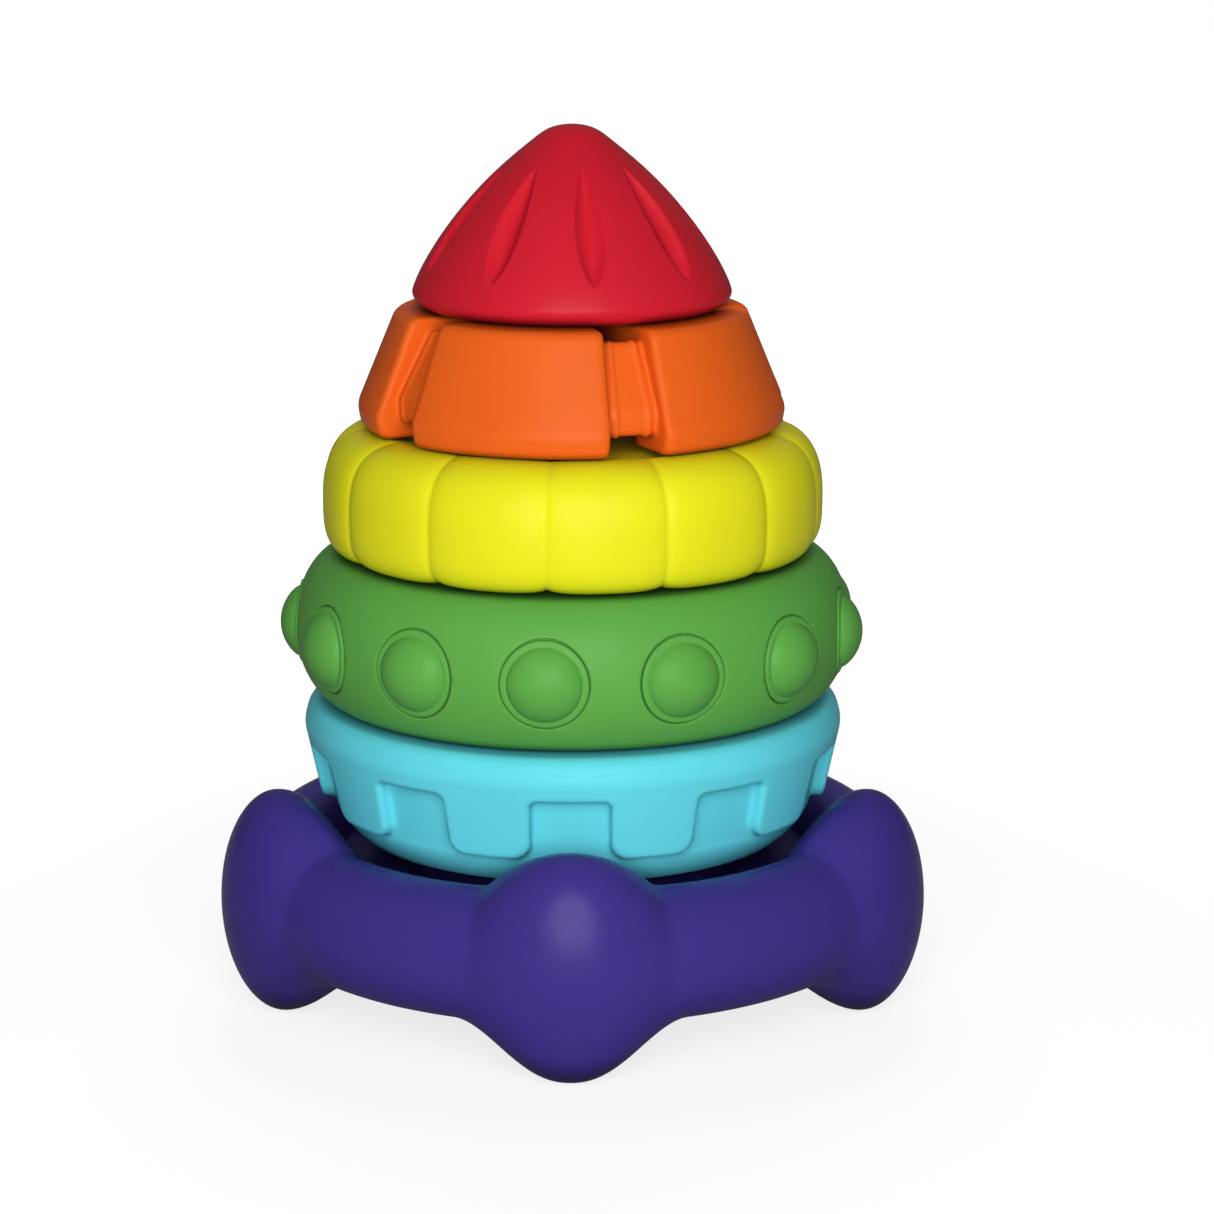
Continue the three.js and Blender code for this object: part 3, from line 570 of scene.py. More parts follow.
def ring_measures(hue):
    """A ring's foot, height, bore, wall and the radius that clears its closing plate."""
    shell = f"{hue}_ring_shell"
    foot = node_foot(shell)
    plate_r = plate_size(f"{hue}_ring_plate")[0] + CLEAR
    return foot, node_top(shell) - foot, bore_radius(shell), toy().base.wall, plate_r


def finish_ring(bm, name, hue, material, sharp):
    """Places a ring's shell, and a flat plate with broken edges in its underside, as a piece of
    its own on the same body.
    """
    body, shell, plate = f"{hue}_ring", f"{hue}_ring_shell", f"{hue}_ring_plate"
    finished(bm, name, body, shell, material, sharp=sharp)
    inner = bore_radius(shell) + toy().base.wall + CLEAR
    outer, foot, top = plate_size(plate)
    corners = [(inner, foot, 0.3), (inner, top, 0.3), (outer, top, 0.3), (outer, foot, 0.3)]
    bm = spun(rounded(corners, steps=2), PLATE_STEPS)
    finished(bm, plate.replace("plate", "underside"), body, plate, material, sharp=40)


# --- Pieces -----------------------------------------------------------------------------------

class RINGTOY_OT_base(bpy.types.Operator):
    """Build the purple base: rim, knobs, web, seat, cover and screws"""
    bl_idname = "ring_toy.base"
    bl_label = "Base"

    def execute(self, context):
        size = toy().base
        # painted shade: a deep, wide crevice shade darkens the well behind the rim
        purple = plastic("purple", toy().colours.purple, gloss=0.24, depth=0.85, reach=0.013)
        rim_z = size.knob_low
        seat_z = node_foot("cyan_ring_shell") - CLEAR
        cover_foot = node_foot("base_cover")
        shell = self.shell(size, rim_z, seat_z, cover_foot)
        finished(shell, "base_moulding", "base", "base_shell", purple, sharp=50)
        self.cover(size, cover_foot, purple)
        for i in range(1, 6):
            self.screw(f"base_screw_{i}", f"screw_{i}")
        return {"FINISHED"}

    def knob_shares(self, size, angle):
        """How much of a knob there is at an angle, above and below: a round dome on top that
        meets the rim in a fillet, and a long smooth flare underneath."""
        along = abs(from_mark(angle, size.knobs, size.knob_turn)) * size.knob_r
        dome = 1 - (along / (size.knob_length * 0.76)) ** 2
        above = (dome + math.hypot(dome, 0.12)) / (1 + math.hypot(1, 0.12))
        below = 0.5 * (1 + math.cos(math.pi * min(1, along / size.knob_length) ** 1.1))
        return above, below

    def rim_point(self, size, rim_z, angle, inset, share_round, web_half):
        """A point of the rim's section, from the web's top (0) over the rim to its foot (1)."""
        above, below = self.knob_shares(size, angle)
        up = mix(size.rim_high, size.knob_high, above) - inset
        down = mix(size.rim_low, size.knob_low, below) - inset
        start = math.pi - math.asin(web_half / up)
        stop = -math.pi + math.asin(web_half / down)
        turn = mix(start, stop, share_round)
        share = mix(below, above, ease(1 + 1.6 * math.sin(turn)))
        centre = mix(size.rim_r, size.knob_r, share)
        out = mix(size.rim_out, size.knob_out, share) - inset
        inward = mix(size.rim_in, size.knob_in, share) - inset
        wide = out if math.cos(turn) > 0 else inward
        high = up if math.sin(turn) > 0 else down
        return centre + wide * math.cos(turn), rim_z + high * math.sin(turn)

    def shell(self, size, rim_z, seat_z, cover_foot):
        outer_steps, inner_steps = 72, 24
        wall = size.wall
        inside_half = size.web_half - wall
        bore = bore_radius("base_shell")
        web_top, web_foot = rim_z + size.web_half, cover_foot
        seat = rounded([(bore, seat_z - wall, 0), (bore, seat_z, 0.6), (size.seat_r, seat_z, 1.6),
                        (size.seat_r + 0.6, web_top, 2.4), (size.seat_r + 5, web_top, 0)],
                       closed=False)
        seat = refined(seat, 3, closed=False)
        opening = [(size.cover_r + 3, web_foot), (size.cover_r + CLEAR + 0.3, web_foot),
                   (size.cover_r + CLEAR, web_foot + 0.3),
                   (size.cover_r + CLEAR, rim_z - inside_half)]
        roof = [(size.seat_r - wall, rim_z + inside_half), (size.seat_r - wall, seat_z - wall)]
        fixed = seat + [None] * (outer_steps + 1) + opening
        fixed += [None] * (inner_steps + 1) + roof
        first_outer = len(seat)
        first_inner = first_outer + outer_steps + 1 + len(opening)

        def shape(i, angle):
            if fixed[i] is not None:
                return fixed[i]
            if i < first_inner:
                share = (i - first_outer) / outer_steps
                return self.rim_point(size, rim_z, angle, 0, share, size.web_half)
            share = 1 - (i - first_inner) / inner_steps
            return self.rim_point(size, rim_z, angle, wall, share, inside_half)

        points = [shape(i, 0) for i in range(len(fixed))]
        return spun(points, BASE_STEPS, shape=shape, sectors=10)

    def cover(self, size, foot, material):
        """The round plate underneath, with a rounded hole for each screw's head."""
        bm = bmesh.new()
        bmesh.ops.create_circle(bm, segments=COVER_SEGMENTS, radius=size.cover_r)
        for i in range(1, 6):
            low, high = node_box(f"base_screw_{i}")
            middle = ((low[0] + high[0]) / 2 - AXIS_X, (low[1] + high[1]) / 2 - AXIS_Y, 0)
            head_r = (high[0] - low[0]) / 2
            hole = bmesh.ops.create_circle(bm, segments=HOLE_SEGMENTS, radius=head_r + CLEAR)
            bmesh.ops.translate(bm, verts=hole["verts"], vec=middle)
        bmesh.ops.translate(bm, verts=bm.verts, vec=(0, 0, foot))
        bmesh.ops.triangle_fill(bm, use_beauty=True, use_dissolve=False, edges=bm.edges)
        raised = bmesh.ops.extrude_face_region(bm, geom=bm.faces[:])["geom"]
        bmesh.ops.translate(bm, verts=verts_in(raised),
                            vec=(0, 0, node_top("base_cover") - foot))
        bmesh.ops.recalc_face_normals(bm, faces=bm.faces)
        corners = [edge for edge in bm.edges if edge.calc_face_angle(0) > 1]
        bmesh.ops.bevel(bm, geom=corners, offset=0.3, segments=2, profile=0.5, affect="EDGES")
        finished(bm, "base_underside", "base", "base_cover", material, sharp=40)

    def screw(self, node, name):
        """A pan-headed screw whose head faces down, with a cross cut into it."""
        low, high = node_box(node)
        foot, top = low[2], high[2]
        head_r = (high[0] - low[0]) / 2
        middle = ((low[0] + high[0]) / 2, (low[1] + high[1]) / 2, 0)
        flat_r, shank_r = head_r - 0.5, head_r / 2
        arm, bar_half, depth = 0.62 * head_r, 0.15 * head_r, 0.9
        bm = bmesh.new()
        bmesh.ops.create_circle(bm, cap_ends=True, segments=32, radius=flat_r)
        bmesh.ops.translate(bm, verts=bm.verts, vec=(0, 0, foot))
        for reach in (arm, bar_half, -bar_half, -arm):
            for axis in ((1, 0, 0), (0, 1, 0)):
                bmesh.ops.bisect_plane(bm, geom=bm.verts[:] + bm.edges[:] + bm.faces[:],
                                       dist=1e-5, plane_co=Vector(axis) * reach, plane_no=axis)
        rim = [edge for edge in bm.edges if edge.is_boundary]
        cross = []
        for face in bm.faces:
            x, y, _ = face.calc_center_median()
            if min(abs(x), abs(y)) < bar_half and max(abs(x), abs(y)) < arm:
                cross.append(face)
        sunk = bmesh.ops.extrude_face_region(bm, geom=cross)["geom"]
        bmesh.ops.delete(bm, geom=cross, context="FACES_ONLY")
        bmesh.ops.translate(bm, verts=verts_in(sunk), vec=(0, 0, depth))
        r = flat_r
        for next_r, z in ((head_r, foot + 0.5), (head_r, foot + 1.2), (shank_r, foot + 1.2),
                          (shank_r, top - shank_r), (shank_r / 4, top)):
            grown = bmesh.ops.extrude_edge_only(bm, edges=rim)["geom"]
            rim = [part for part in grown if isinstance(part, bmesh.types.BMEdge)]
            for vert in verts_in(grown):
                vert.co = Vector((vert.co.x * next_r / r, vert.co.y * next_r / r, z))
            r = next_r
        bmesh.ops.contextual_create(bm, geom=rim)
        bmesh.ops.recalc_face_normals(bm, faces=bm.faces)
        bmesh.ops.translate(bm, verts=bm.verts, vec=middle)
        finished(bm, name, "base", node, screw_steel(), centred=False, sharp=30)


class RINGTOY_OT_post(bpy.types.Operator):
    """Build the grey post that the rings drop over"""
    bl_idname = "ring_toy.post"
    bl_label = "Post"

    def execute(self, context):
        foot, top = node_foot("post"), node_top("post")
        low, high = node_box("post")
        flange_r = (high[0] - low[0]) / 2
        flange_top = node_foot("cyan_ring_shell") - CLEAR - toy().base.wall - CLEAR
        post_r = max(radii("post", over=node_foot("green_ring_shell")))
        wall = 2.2
        corners = [(0, top - wall, 0), (post_r - wall, top - wall, 4), (post_r - wall, foot, 0.2),
                   (post_r, foot, 0.3), (post_r, flange_top - 2.8, 0.8),
                   (flange_r, flange_top - 2.8, 0.4), (flange_r, flange_top, 0.4),
                   (post_r, flange_top, 0.2), (post_r, top, 6.5), (0, top, 0)]
        points = refined(rounded(corners, closed=False), 8, closed=False)
        bm = spun(points, POST_STEPS, closed=False)
        finished(bm, "post_tube", "base", "post",
                 plastic("grey", toy().colours.grey, gloss=0.4), sharp=50)
        return {"FINISHED"}


def wall_step(distance, reach, depth, outer_fillet, inner_fillet):
    """Bends a flat strip into a step with rounded edges. distance is positive on the raised
    side. Returns how far the point moves along the slope's direction, and its height share."""
    if distance >= reach:
        return 0.0, 1.0
    if distance <= -reach:
        return 0.0, 0.0
    quarter = math.pi / 2
    straight = depth - outer_fillet - inner_fillet
    lengths = [reach - outer_fillet, outer_fillet * quarter, straight, inner_fillet * quarter,
               reach - inner_fillet]
    travelled = (reach - distance) / (2 * reach) * sum(lengths)
    stage = 0
    while stage < 4 and travelled > lengths[stage]:
        travelled -= lengths[stage]
        stage += 1
    if stage == 0:
        across, height = -reach + travelled, depth
    elif stage == 1:
        turn = travelled / outer_fillet
        across = -outer_fillet + outer_fillet * math.sin(turn)
        height = depth - outer_fillet + outer_fillet * math.cos(turn)
    elif stage == 2:
        across, height = 0.0, depth - outer_fillet - travelled
    elif stage == 3:
        turn = travelled / inner_fillet
        across = inner_fillet - inner_fillet * math.cos(turn)
        height = inner_fillet - inner_fillet * math.sin(turn)
    else:
        across, height = inner_fillet + travelled, 0.0
    return -across - distance, height / depth


def meet(a, b, fillet):
    """Distance inside both of two shapes, with the corner between them rounded."""
    if a < fillet and b < fillet:
        return fillet - math.hypot(fillet - a, fillet - b)
    return min(a, b)


def join(a, b, fillet):
    """Distance inside either of two shapes, with the corner between them filled."""
    if a > -fillet and b > -fillet:
        return math.hypot(fillet + a, fillet + b) - fillet
    return max(a, b)


class RINGTOY_OT_cyan(bpy.types.Operator):
    """Build the pale blue ring with its hanging tabs"""
    bl_idname = "ring_toy.cyan"
    bl_label = "Tabbed Ring"

    def execute(self, context):
        size = toy().cyan
        foot, height, bore, wall, plate_r = ring_measures("cyan")
        cyan = plastic("cyan", toy().colours.cyan, depth=0.4)

        def tab_r(z):
            return size.band_r - (size.band_z - z) * size.slope

        def bowl_r(z):
            knee = size.tab_z
            if z > knee:
                return tab_r(z) - size.step
            share = 1 - z / knee
            reach = tab_r(knee) - size.step - size.foot_r
            return size.foot_r + reach * (1 - share ** 1.7)

        band = [(bore, 0, 0.5), (bore, height, 0.8), (size.band_r - 1.4, height, 4.2),
                (size.band_r, size.band_z, 6)]
        face = [(tab_r(z), z, 0) for z in (size.gap_z, size.tab_z, size.tab_z / 2)]
        low = [(size.foot_r + 1, 0, 0)]
        inner = [(plate_r, 0, 0.3), (plate_r + 5, height - wall - 4, 3),
                 (plate_r + 2, height - wall, 3),
                 (bore + wall, height - wall, 1), (bore + wall, 0, 0.3)]
        outer = refined(rounded(band[1:] + face + low, closed=False), 0.42, closed=False,
                        fine_r=size.foot_r)
        cavity = refined(rounded(inner, closed=False, steps=3), 6, closed=False)
        points = [(bore, 0)] + outer + [(plate_r + 1, 0)] + cavity
        last_outer = len(outer)
        reach, edge, root = 1.7, 0.75, 0.7

        def raised(along, z, half):
            beside = meet(abs(along) - half, z - size.tab_z, 3.6)
            return join(beside, z - size.gap_z, 1.6)

        def shape(i, angle):
            r, z = points[i]
            if i == 0 or i > last_outer or z > size.band_z or r < size.foot_r - 2:
                return r, z + foot
            offset = from_mark(angle, size.tabs)
            centre = angle - offset
            along = offset * r
            half = size.gap_half * size.band_r * 0.965
            distance = raised(along, z, half)
            if abs(distance) >= reach:
                share = 1.0 if distance > 0 else 0.0
                return mix(bowl_r(z), r if share else 0, share), z + foot
            slip, share = wall_step(distance, reach, size.step, edge, root)
            probe = 0.05
            slope_along = (raised(along + probe, z, half) - distance) / probe
            slope_z = (raised(along, z + probe, half) - distance) / probe
            steep = max(0.2, math.hypot(slope_along, slope_z))
            along += slip * slope_along / steep
            z += slip * slope_z / steep
            return mix(bowl_r(z), tab_r(z), share), z + foot, centre + along / r

        bm = spun(points, TABBED_STEPS, shape=shape, sectors=10)
        finish_ring(bm, "tabbed_ring", "cyan", cyan, sharp=60)
        return {"FINISHED"}


class RINGTOY_OT_green(bpy.types.Operator):
    """Build the green ring and the domes set into it"""
    bl_idname = "ring_toy.green"
    bl_label = "Domed Ring"

    def execute(self, context):
        size = toy().green
        foot, height, bore, wall, plate_r = ring_measures("green")
        self.middle, self.half = foot + height / 2, height / 2
        green = plastic("green", toy().colours.green)
        bm = self.shell(size, bore, wall, plate_r)
        finish_ring(bm, "domed_ring", "green", green, sharp=70)
        for i in range(size.domes):
            turn = size.dome_turn + i * TURN / size.domes
            dome = self.dome(size, turn)
            finished(dome, f"dome_{i + 1}", "green_ring",
                     f"green_dome_{i + 1}", green, sharp=60)
        return {"FINISHED"}

    def face_r(self, size, z):
        """The ring's radius at a height from its middle."""
        share = min(1, abs(z) / self.half)
        return size.outer_r - size.bulge + size.bulge * math.sqrt(1 - share * share)

    def shell(self, size, bore, wall, plate_r):
        """The hollow ring with a tyre's outer curve, and the domes' seats cut into it."""
        half = self.half
        flat_r = size.outer_r - size.bulge
        curve = []
        for i in range(61):
            turn = i / 60 * math.pi
            curve.append((flat_r + size.bulge * math.sin(turn), half * math.cos(turn)))
        inner = [(plate_r, -half), (flat_r + 4, -half / 2), (flat_r + 5.5, 0),
                 (flat_r + 4, half / 2), (flat_r - 1, half - wall), (bore + wall, half - wall),
                 (bore + wall, -half)]
        rim = rounded([(bore, -half, 0.5), (bore, half, 0.8), (flat_r, half, 0)], closed=False)
        points = [(bore, -half)] + refined(rim[1:], 4, closed=False)[:-1] + curve
        points += refined(inner, 8, closed=False)
        points = [(r, z + self.middle) for r, z in points]
        bm = spun(points, DOMED_STEPS, sectors=13)
        self.cut_seats(size, bm)
        return bm

    def cut_seats(self, size, bm):
        """Cuts a fine groove round each collar and sinks the seat under it."""
        groove, half_width, depth = size.collar_r + 0.18, 0.9, 0.55

        def from_collar(point):
            angle = math.atan2(point.x, -point.y)
            along = from_mark(angle, size.domes, size.dome_turn) * size.outer_r
            outside = math.hypot(point.x, point.y) > size.outer_r - size.bulge
            return math.hypot(along, point.z - self.middle) - groove if outside else half_width * 9

        for _ in range(2):
            near = [edge for edge in bm.edges
                    if all(abs(from_collar(v.co)) < half_width for v in edge.verts)]
            bmesh.ops.subdivide_edges(bm, edges=near, cuts=1, use_grid_fill=True)
            half_width *= 0.62
        for vert in bm.verts:
            away = from_collar(vert.co)
            dip = 0
            if away < -0.25:
                dip = depth
            elif away < 0.3:
                dip = depth * (1 - ease(abs(away) / 0.3)) if away > 0 else depth
            if dip:
                r = math.hypot(vert.co.x, vert.co.y)
                vert.co.x *= (r - dip) / r
                vert.co.y *= (r - dip) / r

    def dome(self, size, turn):
        """A dome on a collar that follows the ring's face, spun about the dome's own axis."""
        proud, skirt = size.proud, 1.0
        r, rise = size.collar_r, size.dome_h
        root = size.dome_r
        profile = [(0, -skirt, 0), (r, -skirt, 0), (r, proud, 0.28), (root + 0.55, proud, 0.3),
                   (root + 0.1, proud - 0.12, 0.2)]
        points = rounded(profile, closed=False, steps=4)
        for i in range(1, 17):
            share = i / 16
            turned = share * math.pi / 2
            points.append((root * math.cos(turned), proud - 0.1 + rise * math.sin(turned) ** 1.25))
        bm = spun(refined(points[:2], 2, closed=False)[:-1] + points[1:], DOME_STEPS, closed=False)
        for vert in bm.verts:
            across, up, lift = vert.co.x, vert.co.y, vert.co.z
            face = self.face_r(size, up)
            out = math.sqrt(face * face - across * across) + lift
            vert.co = Vector((across, -out, up + self.middle))
        bmesh.ops.rotate(bm, verts=bm.verts, cent=(0, 0, 0),
                         matrix=Matrix.Rotation(turn, 3, "Z"))
        bmesh.ops.recalc_face_normals(bm, faces=bm.faces)
        return bm


class RINGTOY_OT_yellow(bpy.types.Operator):
    """Build the yellow ring with its puffed lobes"""
    bl_idname = "ring_toy.yellow"
    bl_label = "Lobed Ring"

    def execute(self, context):
        size = toy().yellow
        foot, height, bore, wall, plate_r = ring_measures("yellow")
        yellow = plastic("yellow", toy().colours.yellow, depth=0.12)
        outer_r = size.outer_r
        widest = height * 0.44
        lobe = [(bore, height - 1.4), (outer_r - 17, height - 1.2)]
        lobe += self.quarter(outer_r - 12, widest, 12, height - widest, 2.5)
        lobe += reversed(self.quarter(outer_r - 10, widest, 10, -widest, 3.5))
        lobe.append((plate_r + 1, 0))
        inner = [(plate_r, 0, 0), (plate_r + 2, height - wall - 7, 3),
                 (plate_r - 3, height - wall - 2, 3), (bore + wall, height - wall - 2, 1),
                 (bore + wall, 0, 0)]
        outer = refined(lobe, SPACING, closed=False, fine_r=outer_r - 20)
        cavity = refined(rounded(inner, closed=False, steps=3), 6, closed=False)
        points = [(bore, 0)] + outer + cavity
        normals = outline_normals(points)
        last_outer = len(outer)

        def shape(i, angle):
            r, z = points[i]
            if i == 0 or i > last_outer:
                return r, z + foot
            beside = abs(from_mark(angle, size.lobes, size.lobe_turn)) / (math.pi / size.lobes)
            puff = (1 - (1 - beside) ** 3.2) ** (1 / 1.9)
            fade = ease((r - (outer_r - 16)) / 10)
            if z < height / 2:
                fade = ease((r - plate_r - 1) / 6)
            inset = size.crease * (1 - puff) * fade
            return r - normals[i].x * inset, z - normals[i].y * inset + foot

        bm = spun(points, LOBED_STEPS, shape=shape, sectors=13)
        finish_ring(bm, "lobed_ring", "yellow", yellow, sharp=80)
        return {"FINISHED"}

    def quarter(self, r, z, wide, high, fullness):
        """A quarter of a full-cornered ellipse, from its top or foot to its side."""
        points = []
        for i in range(25):
            turn = math.pi / 2 * (1 - i / 24)
            points.append((r + wide * math.cos(turn) ** (2 / fullness),
                           z + high * math.sin(turn) ** (2 / fullness)))
        return points


class RINGTOY_OT_orange(bpy.types.Operator):
    """Build the orange ring of blocks on a core"""
    bl_idname = "ring_toy.orange"
    bl_label = "Block Ring"

    def execute(self, context):
        size = toy().orange
        foot, height, bore, wall, plate_r = ring_measures("orange")
        orange = plastic("orange", toy().colours.orange, gloss=0.34)
        wide_z = 5.0
        block = [(bore, height, 0), (size.top_r, height, 2.6), (size.foot_r, wide_z, 5),
                 (size.foot_r - 0.9, 0, 3.2), (plate_r + 3, 0, 0)]
        core_top, core_foot = height - size.drop, size.rise
        bore_top = core_top - 4.6
        core = [(bore, bore_top, 0), (size.top_r - size.depth + 0.6, core_top, 1.6),
                (size.foot_r - size.depth, core_foot + wide_z, 5),
                (size.foot_r - size.depth - 0.4, core_foot, 1.8), (plate_r + 3, core_foot, 0)]
        block_line = rounded(block, closed=False, steps=8)
        core_line = rounded(core, closed=False, steps=8)
        blocks = self.evenly(block_line)
        cores = self.evenly(core_line)
        inner = [(plate_r + 2, core_foot), (plate_r, core_foot),
                 (size.top_r - size.depth - wall - 1, core_top - wall - 1),
                 (bore + wall, bore_top - wall), (bore + wall, core_foot), (bore, core_foot)]
        count = len(blocks)
        reach, edge, root = 2.0, 1.3, 0.6

        def shape(i, angle):
            if i >= count:
                r, z = inner[i - count]
                return r, z + foot
            offset = from_mark(angle, size.blocks, size.block_turn)
            centre = angle - offset
            side = 1 if offset > 0 else -1
            arm = max(cores[i][0], 24)
            distance = (size.block_half - abs(offset)) * arm
            slip, share = wall_step(distance, reach, size.depth, edge, root)
            bead = math.exp(-((distance + 2.0) / 0.4) ** 2) * 0.11
            share = clamp(share + bead)
            r = mix(cores[i][0], blocks[i][0], share)
            z = mix(cores[i][1], blocks[i][1], share)
            turned = centre + side * (abs(offset) - slip / arm)
            return r, z + foot, turned

        points = [shape(i, size.block_turn)[:2] for i in range(count + len(inner))]
        bm = spun(points, BLOCK_STEPS, shape=shape, sectors=10)
        finish_ring(bm, "block_ring", "orange", orange, sharp=70)
        return {"FINISHED"}

    def evenly(self, points, arc=9):
        """Splits the straight stretches between the rounded corners into fixed numbers of
        pieces, so the block's and the core's outlines keep step."""
        pieces = {0: 5, arc: 26, 2 * arc: 8, 3 * arc: 5}
        result = []
        for i, (start, end) in enumerate(zip(points, points[1:])):
            cuts = pieces.get(i, 1)
            for step in range(cuts):
                result.append(tuple(Vector(start).lerp(Vector(end), step / cuts)))
        return result + [points[-1]]


class RINGTOY_OT_cone(bpy.types.Operator):
    """Build the red nose cone with its leaf-shaped dimples"""
    bl_idname = "ring_toy.cone"
    bl_label = "Nose Cone"

    def execute(self, context):
        size = toy().cone
        foot, top = node_foot("cone_shell"), node_top("cone_shell")
        height = top - foot
        rise = height - size.rim_z
        wall = toy().base.wall
        red = plastic("red", toy().colours.red, gloss=0.33)

        def flank_r(share):
            """The cone's radius, from the rim (0) to the blunt tip (1)."""
            below = (1 - share) * rise
            blunt = 3.1 * math.sqrt(below) * math.exp(-below / 1.6)
            return size.rim_r * (1 - share ** 1.25) ** 0.69 + blunt

        flank = []
        for i in range(110):
            share = 1 - (i / 110) ** 1.5
            flank.append((flank_r(share), size.rim_z + rise * share))
        rim = []
        for i in range(15):
            turn = i / 14 * math.pi / 2
            rim.append((size.rim_r - 4.4 * (1 - math.cos(turn)),
                        size.rim_z * (1 - math.sin(turn))))
        inner_r = size.rim_r - 6
        inner = [(inner_r, 0.3), (inner_r, 4)]
        for i in range(1, 14):
            share = i / 14
            inner.append((max(0.5, flank_r(share) - wall - size.dimple_depth),
                          size.rim_z + (rise - wall) * share))
        flank[0] = (0, height)
        points = refined(flank + rim, SPACING, closed=False) + inner + [(0, height - wall)]
        normals = outline_normals(points, closed=False)
        low_end, high_end = size.dimple_low, size.dimple_high

        def shape(i, angle):
            r, z = points[i]
            if r < 1 or not low_end < z < high_end or r < inner_limit(z):
                return r, z + foot
            along = (z - low_end) / (high_end - low_end)
            leaf = math.sin(math.pi * along ** 0.8) ** 0.75
            half = size.dimple_half * leaf
            across = abs(from_mark(angle, size.dimples, size.dimple_turn)) * r
            if across >= half:
                return r, z + foot
            share = across / half
            dip = size.dimple_depth * (1 - share * share) * min(1, leaf * 1.2)
            return r - normals[i].x * dip, z - normals[i].y * dip + foot

        def inner_limit(z):
            return flank_r((z - size.rim_z) / rise) - 1.0

        bm = spun(points, CONE_STEPS, closed=False, shape=shape, sectors=9)
        finished(bm, "nose_cone", "cone", "cone_shell", red, sharp=80)
        self.socket(red)
        return {"FINISHED"}

    def socket(self, material):
        """The cone's underside, with the blind socket that drops over the post."""
        foot, top = node_foot("cone_plate"), node_top("cone_plate")
        low, high = node_box("cone_plate")
        outer = (high[0] - low[0]) / 2
        bore = bore_radius("orange_ring_shell")
        wall = 1.8
        corners = [(0, top - wall, 0), (bore, top - wall, 5), (bore, foot, 0.8),
                   (outer, foot, 0.3), (outer, foot + 2.2, 0.3), (bore + wall, foot + 2.2, 0.8),
                   (bore + wall, top, 5), (0, top, 0)]
        bm = spun(rounded(corners, closed=False), SOCKET_STEPS, closed=False)
        finished(bm, "cone_underside", "cone", "cone_plate", material, sharp=50)


# --- Studio -----------------------------------------------------------------------------------

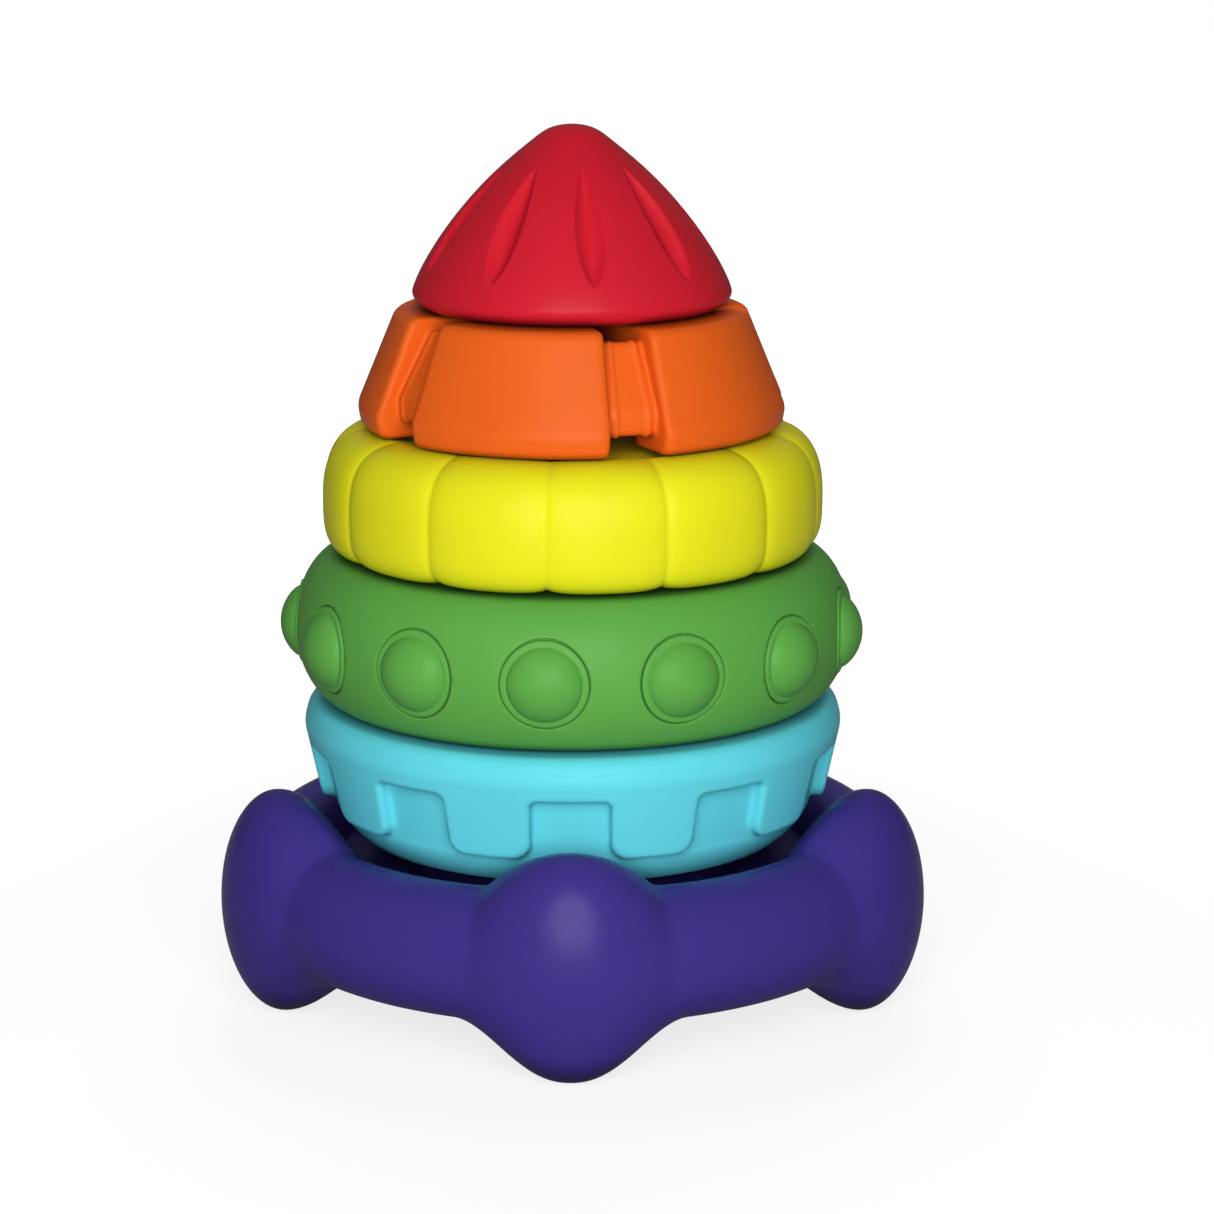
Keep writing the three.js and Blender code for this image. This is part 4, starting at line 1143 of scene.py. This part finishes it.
class RINGTOY_OT_stage(bpy.types.Operator):
    """Set up the pale floor, the soft studio lights and the camera"""
    bl_idname = "ring_toy.stage"
    bl_label = "Studio"

    distance: bpy.props.FloatProperty(
        name="Distance", description="From the camera to the middle of the toy",
        default=0.7766, unit="LENGTH")
    aside: bpy.props.FloatProperty(
        name="Step aside", description="How far the camera stands to the right",
        default=0.00752, unit="LENGTH")
    elevation: bpy.props.FloatProperty(
        name="Elevation", description="Angle at which the camera looks down",
        default=math.radians(13.25), subtype="ANGLE")
    focal_length: bpy.props.FloatProperty(
        name="Focal length", description="Focal length of the lens",
        default=104.68, unit="CAMERA")

    def execute(self, context):
        middle = (node_foot("green_ring_shell") + node_top("green_ring_shell")) / 2
        self.target = Vector((AXIS_X, AXIS_Y, middle)) * MM
        self.camera()
        self.lights()
        self.floor()
        self.world()
        return {"FINISHED"}

    def view_from(self, azimuth, elevation, distance):
        """A point seen at these angles from the target, azimuth 0 being the front."""
        flat = math.cos(elevation) * distance
        return self.target + Vector((flat * math.sin(azimuth), -flat * math.cos(azimuth),
                                     math.sin(elevation) * distance))

    def camera(self):
        lens = bpy.data.cameras.new("studio_camera")
        lens.sensor_width = 36
        lens.lens = self.focal_length
        lens.shift_y = 0.0093
        lens.clip_start = 0.01
        camera = placed("studio_camera", lens)
        camera.location = self.view_from(0, self.elevation, self.distance)
        camera.location.x += self.aside
        camera.rotation_euler = (math.pi / 2 - self.elevation, 0, 0)
        bpy.context.scene.camera = camera

    def lamp(self, name, azimuth, elevation, distance, width, power, glossy=True):
        """A round soft light that looks at the toy, and shows in its gloss or not."""
        light = bpy.data.lights.new(name, "AREA")
        light.shape = "DISK"
        light.size = width
        light.energy = power
        lamp = placed(name, light)
        lamp.location = self.view_from(azimuth, elevation, distance)
        aim = self.target - lamp.location
        lamp.rotation_euler = aim.to_track_quat("-Z", "Y").to_euler()
        lamp.visible_glossy = glossy

    def lights(self):
        self.lamp("key_light", math.radians(1), math.radians(18), 0.9, 0.72, 8.2)
        self.lamp("back_light", math.pi, math.radians(28), 0.95, 1.0, 5.0, glossy=False)

    def floor(self):
        bm = bmesh.new()
        bmesh.ops.create_grid(bm, x_segments=2, y_segments=2, size=3)
        mesh = bpy.data.meshes.new("studio_floor")
        bm.to_mesh(mesh)
        bm.free()
        floor = placed("studio_floor", mesh)
        mesh.materials.append(self.floor_finish())

    def floor_finish(self):
        """Matt white board, lifted to white where it is seen directly."""
        material, tree, shader = new_material("studio floor")
        nodes, links = tree.nodes, tree.links
        shader.inputs["Roughness"].default_value = 0.9
        shader.inputs["Specular IOR Level"].default_value = 0
        place = nodes.new("ShaderNodeTexCoord").outputs["Object"]
        grain = noise(nodes, links, place, 3, 2)
        links.new(blended(nodes, links, "MIX", grain, (0.33, 0.33, 0.33, 1),
                          (0.35, 0.35, 0.35, 1)), shader.inputs["Base Color"])
        shader.inputs["Emission Color"].default_value = (1, 1, 1, 1)
        away = nodes.new("ShaderNodeVectorMath")
        away.operation = "LENGTH"
        links.new(place, away.inputs[0])
        white = ranged(nodes, links, away.outputs["Value"], 0.78, 1.0, 0.14, 0.4)
        seen = nodes.new("ShaderNodeLightPath").outputs["Is Camera Ray"]
        links.new(calculated(nodes, links, "MULTIPLY", seen, white),
                  shader.inputs["Emission Strength"])
        return material

    def world(self):
        world = bpy.data.worlds.new("studio")
        bpy.context.scene.world = world
        world.use_nodes = True
        nodes, links = world.node_tree.nodes, world.node_tree.links
        nodes.clear()
        end = nodes.new("ShaderNodeOutputWorld")
        background = nodes.new("ShaderNodeBackground")
        background.inputs["Color"].default_value = (1, 1, 1, 1)
        seen = nodes.new("ShaderNodeLightPath").outputs["Is Camera Ray"]
        links.new(ranged(nodes, links, seen, 0.1, 1.0, 0, 1), background.inputs["Strength"])
        links.new(background.outputs[0], end.inputs["Surface"])
        bpy.context.scene.view_settings.view_transform = "Standard"


PIECES = (RINGTOY_OT_base, RINGTOY_OT_post, RINGTOY_OT_cyan, RINGTOY_OT_green,
          RINGTOY_OT_yellow, RINGTOY_OT_orange, RINGTOY_OT_cone, RINGTOY_OT_stage)


class RINGTOY_PT_panel(bpy.types.Panel):
    """Lists the toy's pieces and sizes"""
    bl_idname = "RINGTOY_PT_panel"
    bl_label = "Ring Toy"
    bl_space_type = "VIEW_3D"
    bl_region_type = "UI"
    bl_category = "Ring Toy"

    def draw(self, context):
        for piece in PIECES:
            self.layout.operator(piece.bl_idname)
        settings = context.scene.ring_toy
        for group_name in settings.bl_rna.properties.keys():
            group = getattr(settings, group_name, None)
            if not isinstance(group, bpy.types.PropertyGroup):
                continue
            box = self.layout.box()
            for key in type(group).__annotations__:
                box.prop(group, key)


CLASSES = (RINGTOY_PG_base, RINGTOY_PG_cyan, RINGTOY_PG_green, RINGTOY_PG_yellow,
           RINGTOY_PG_orange, RINGTOY_PG_cone, RINGTOY_PG_colours, RINGTOY_PG_toy,
           *PIECES, RINGTOY_PT_panel)


def register():
    for cls in CLASSES:
        bpy.utils.register_class(cls)
    bpy.types.Scene.ring_toy = bpy.props.PointerProperty(type=RINGTOY_PG_toy)


def unregister():
    del bpy.types.Scene.ring_toy
    for cls in reversed(CLASSES):
        bpy.utils.unregister_class(cls)


def main():
    register()
    bpy.ops.ring_toy.base()
    bpy.ops.ring_toy.post()
    bpy.ops.ring_toy.cyan()
    bpy.ops.ring_toy.green()
    bpy.ops.ring_toy.yellow()
    bpy.ops.ring_toy.orange()
    bpy.ops.ring_toy.cone()
    bpy.ops.ring_toy.stage()


if __name__ == "__main__":
    main()
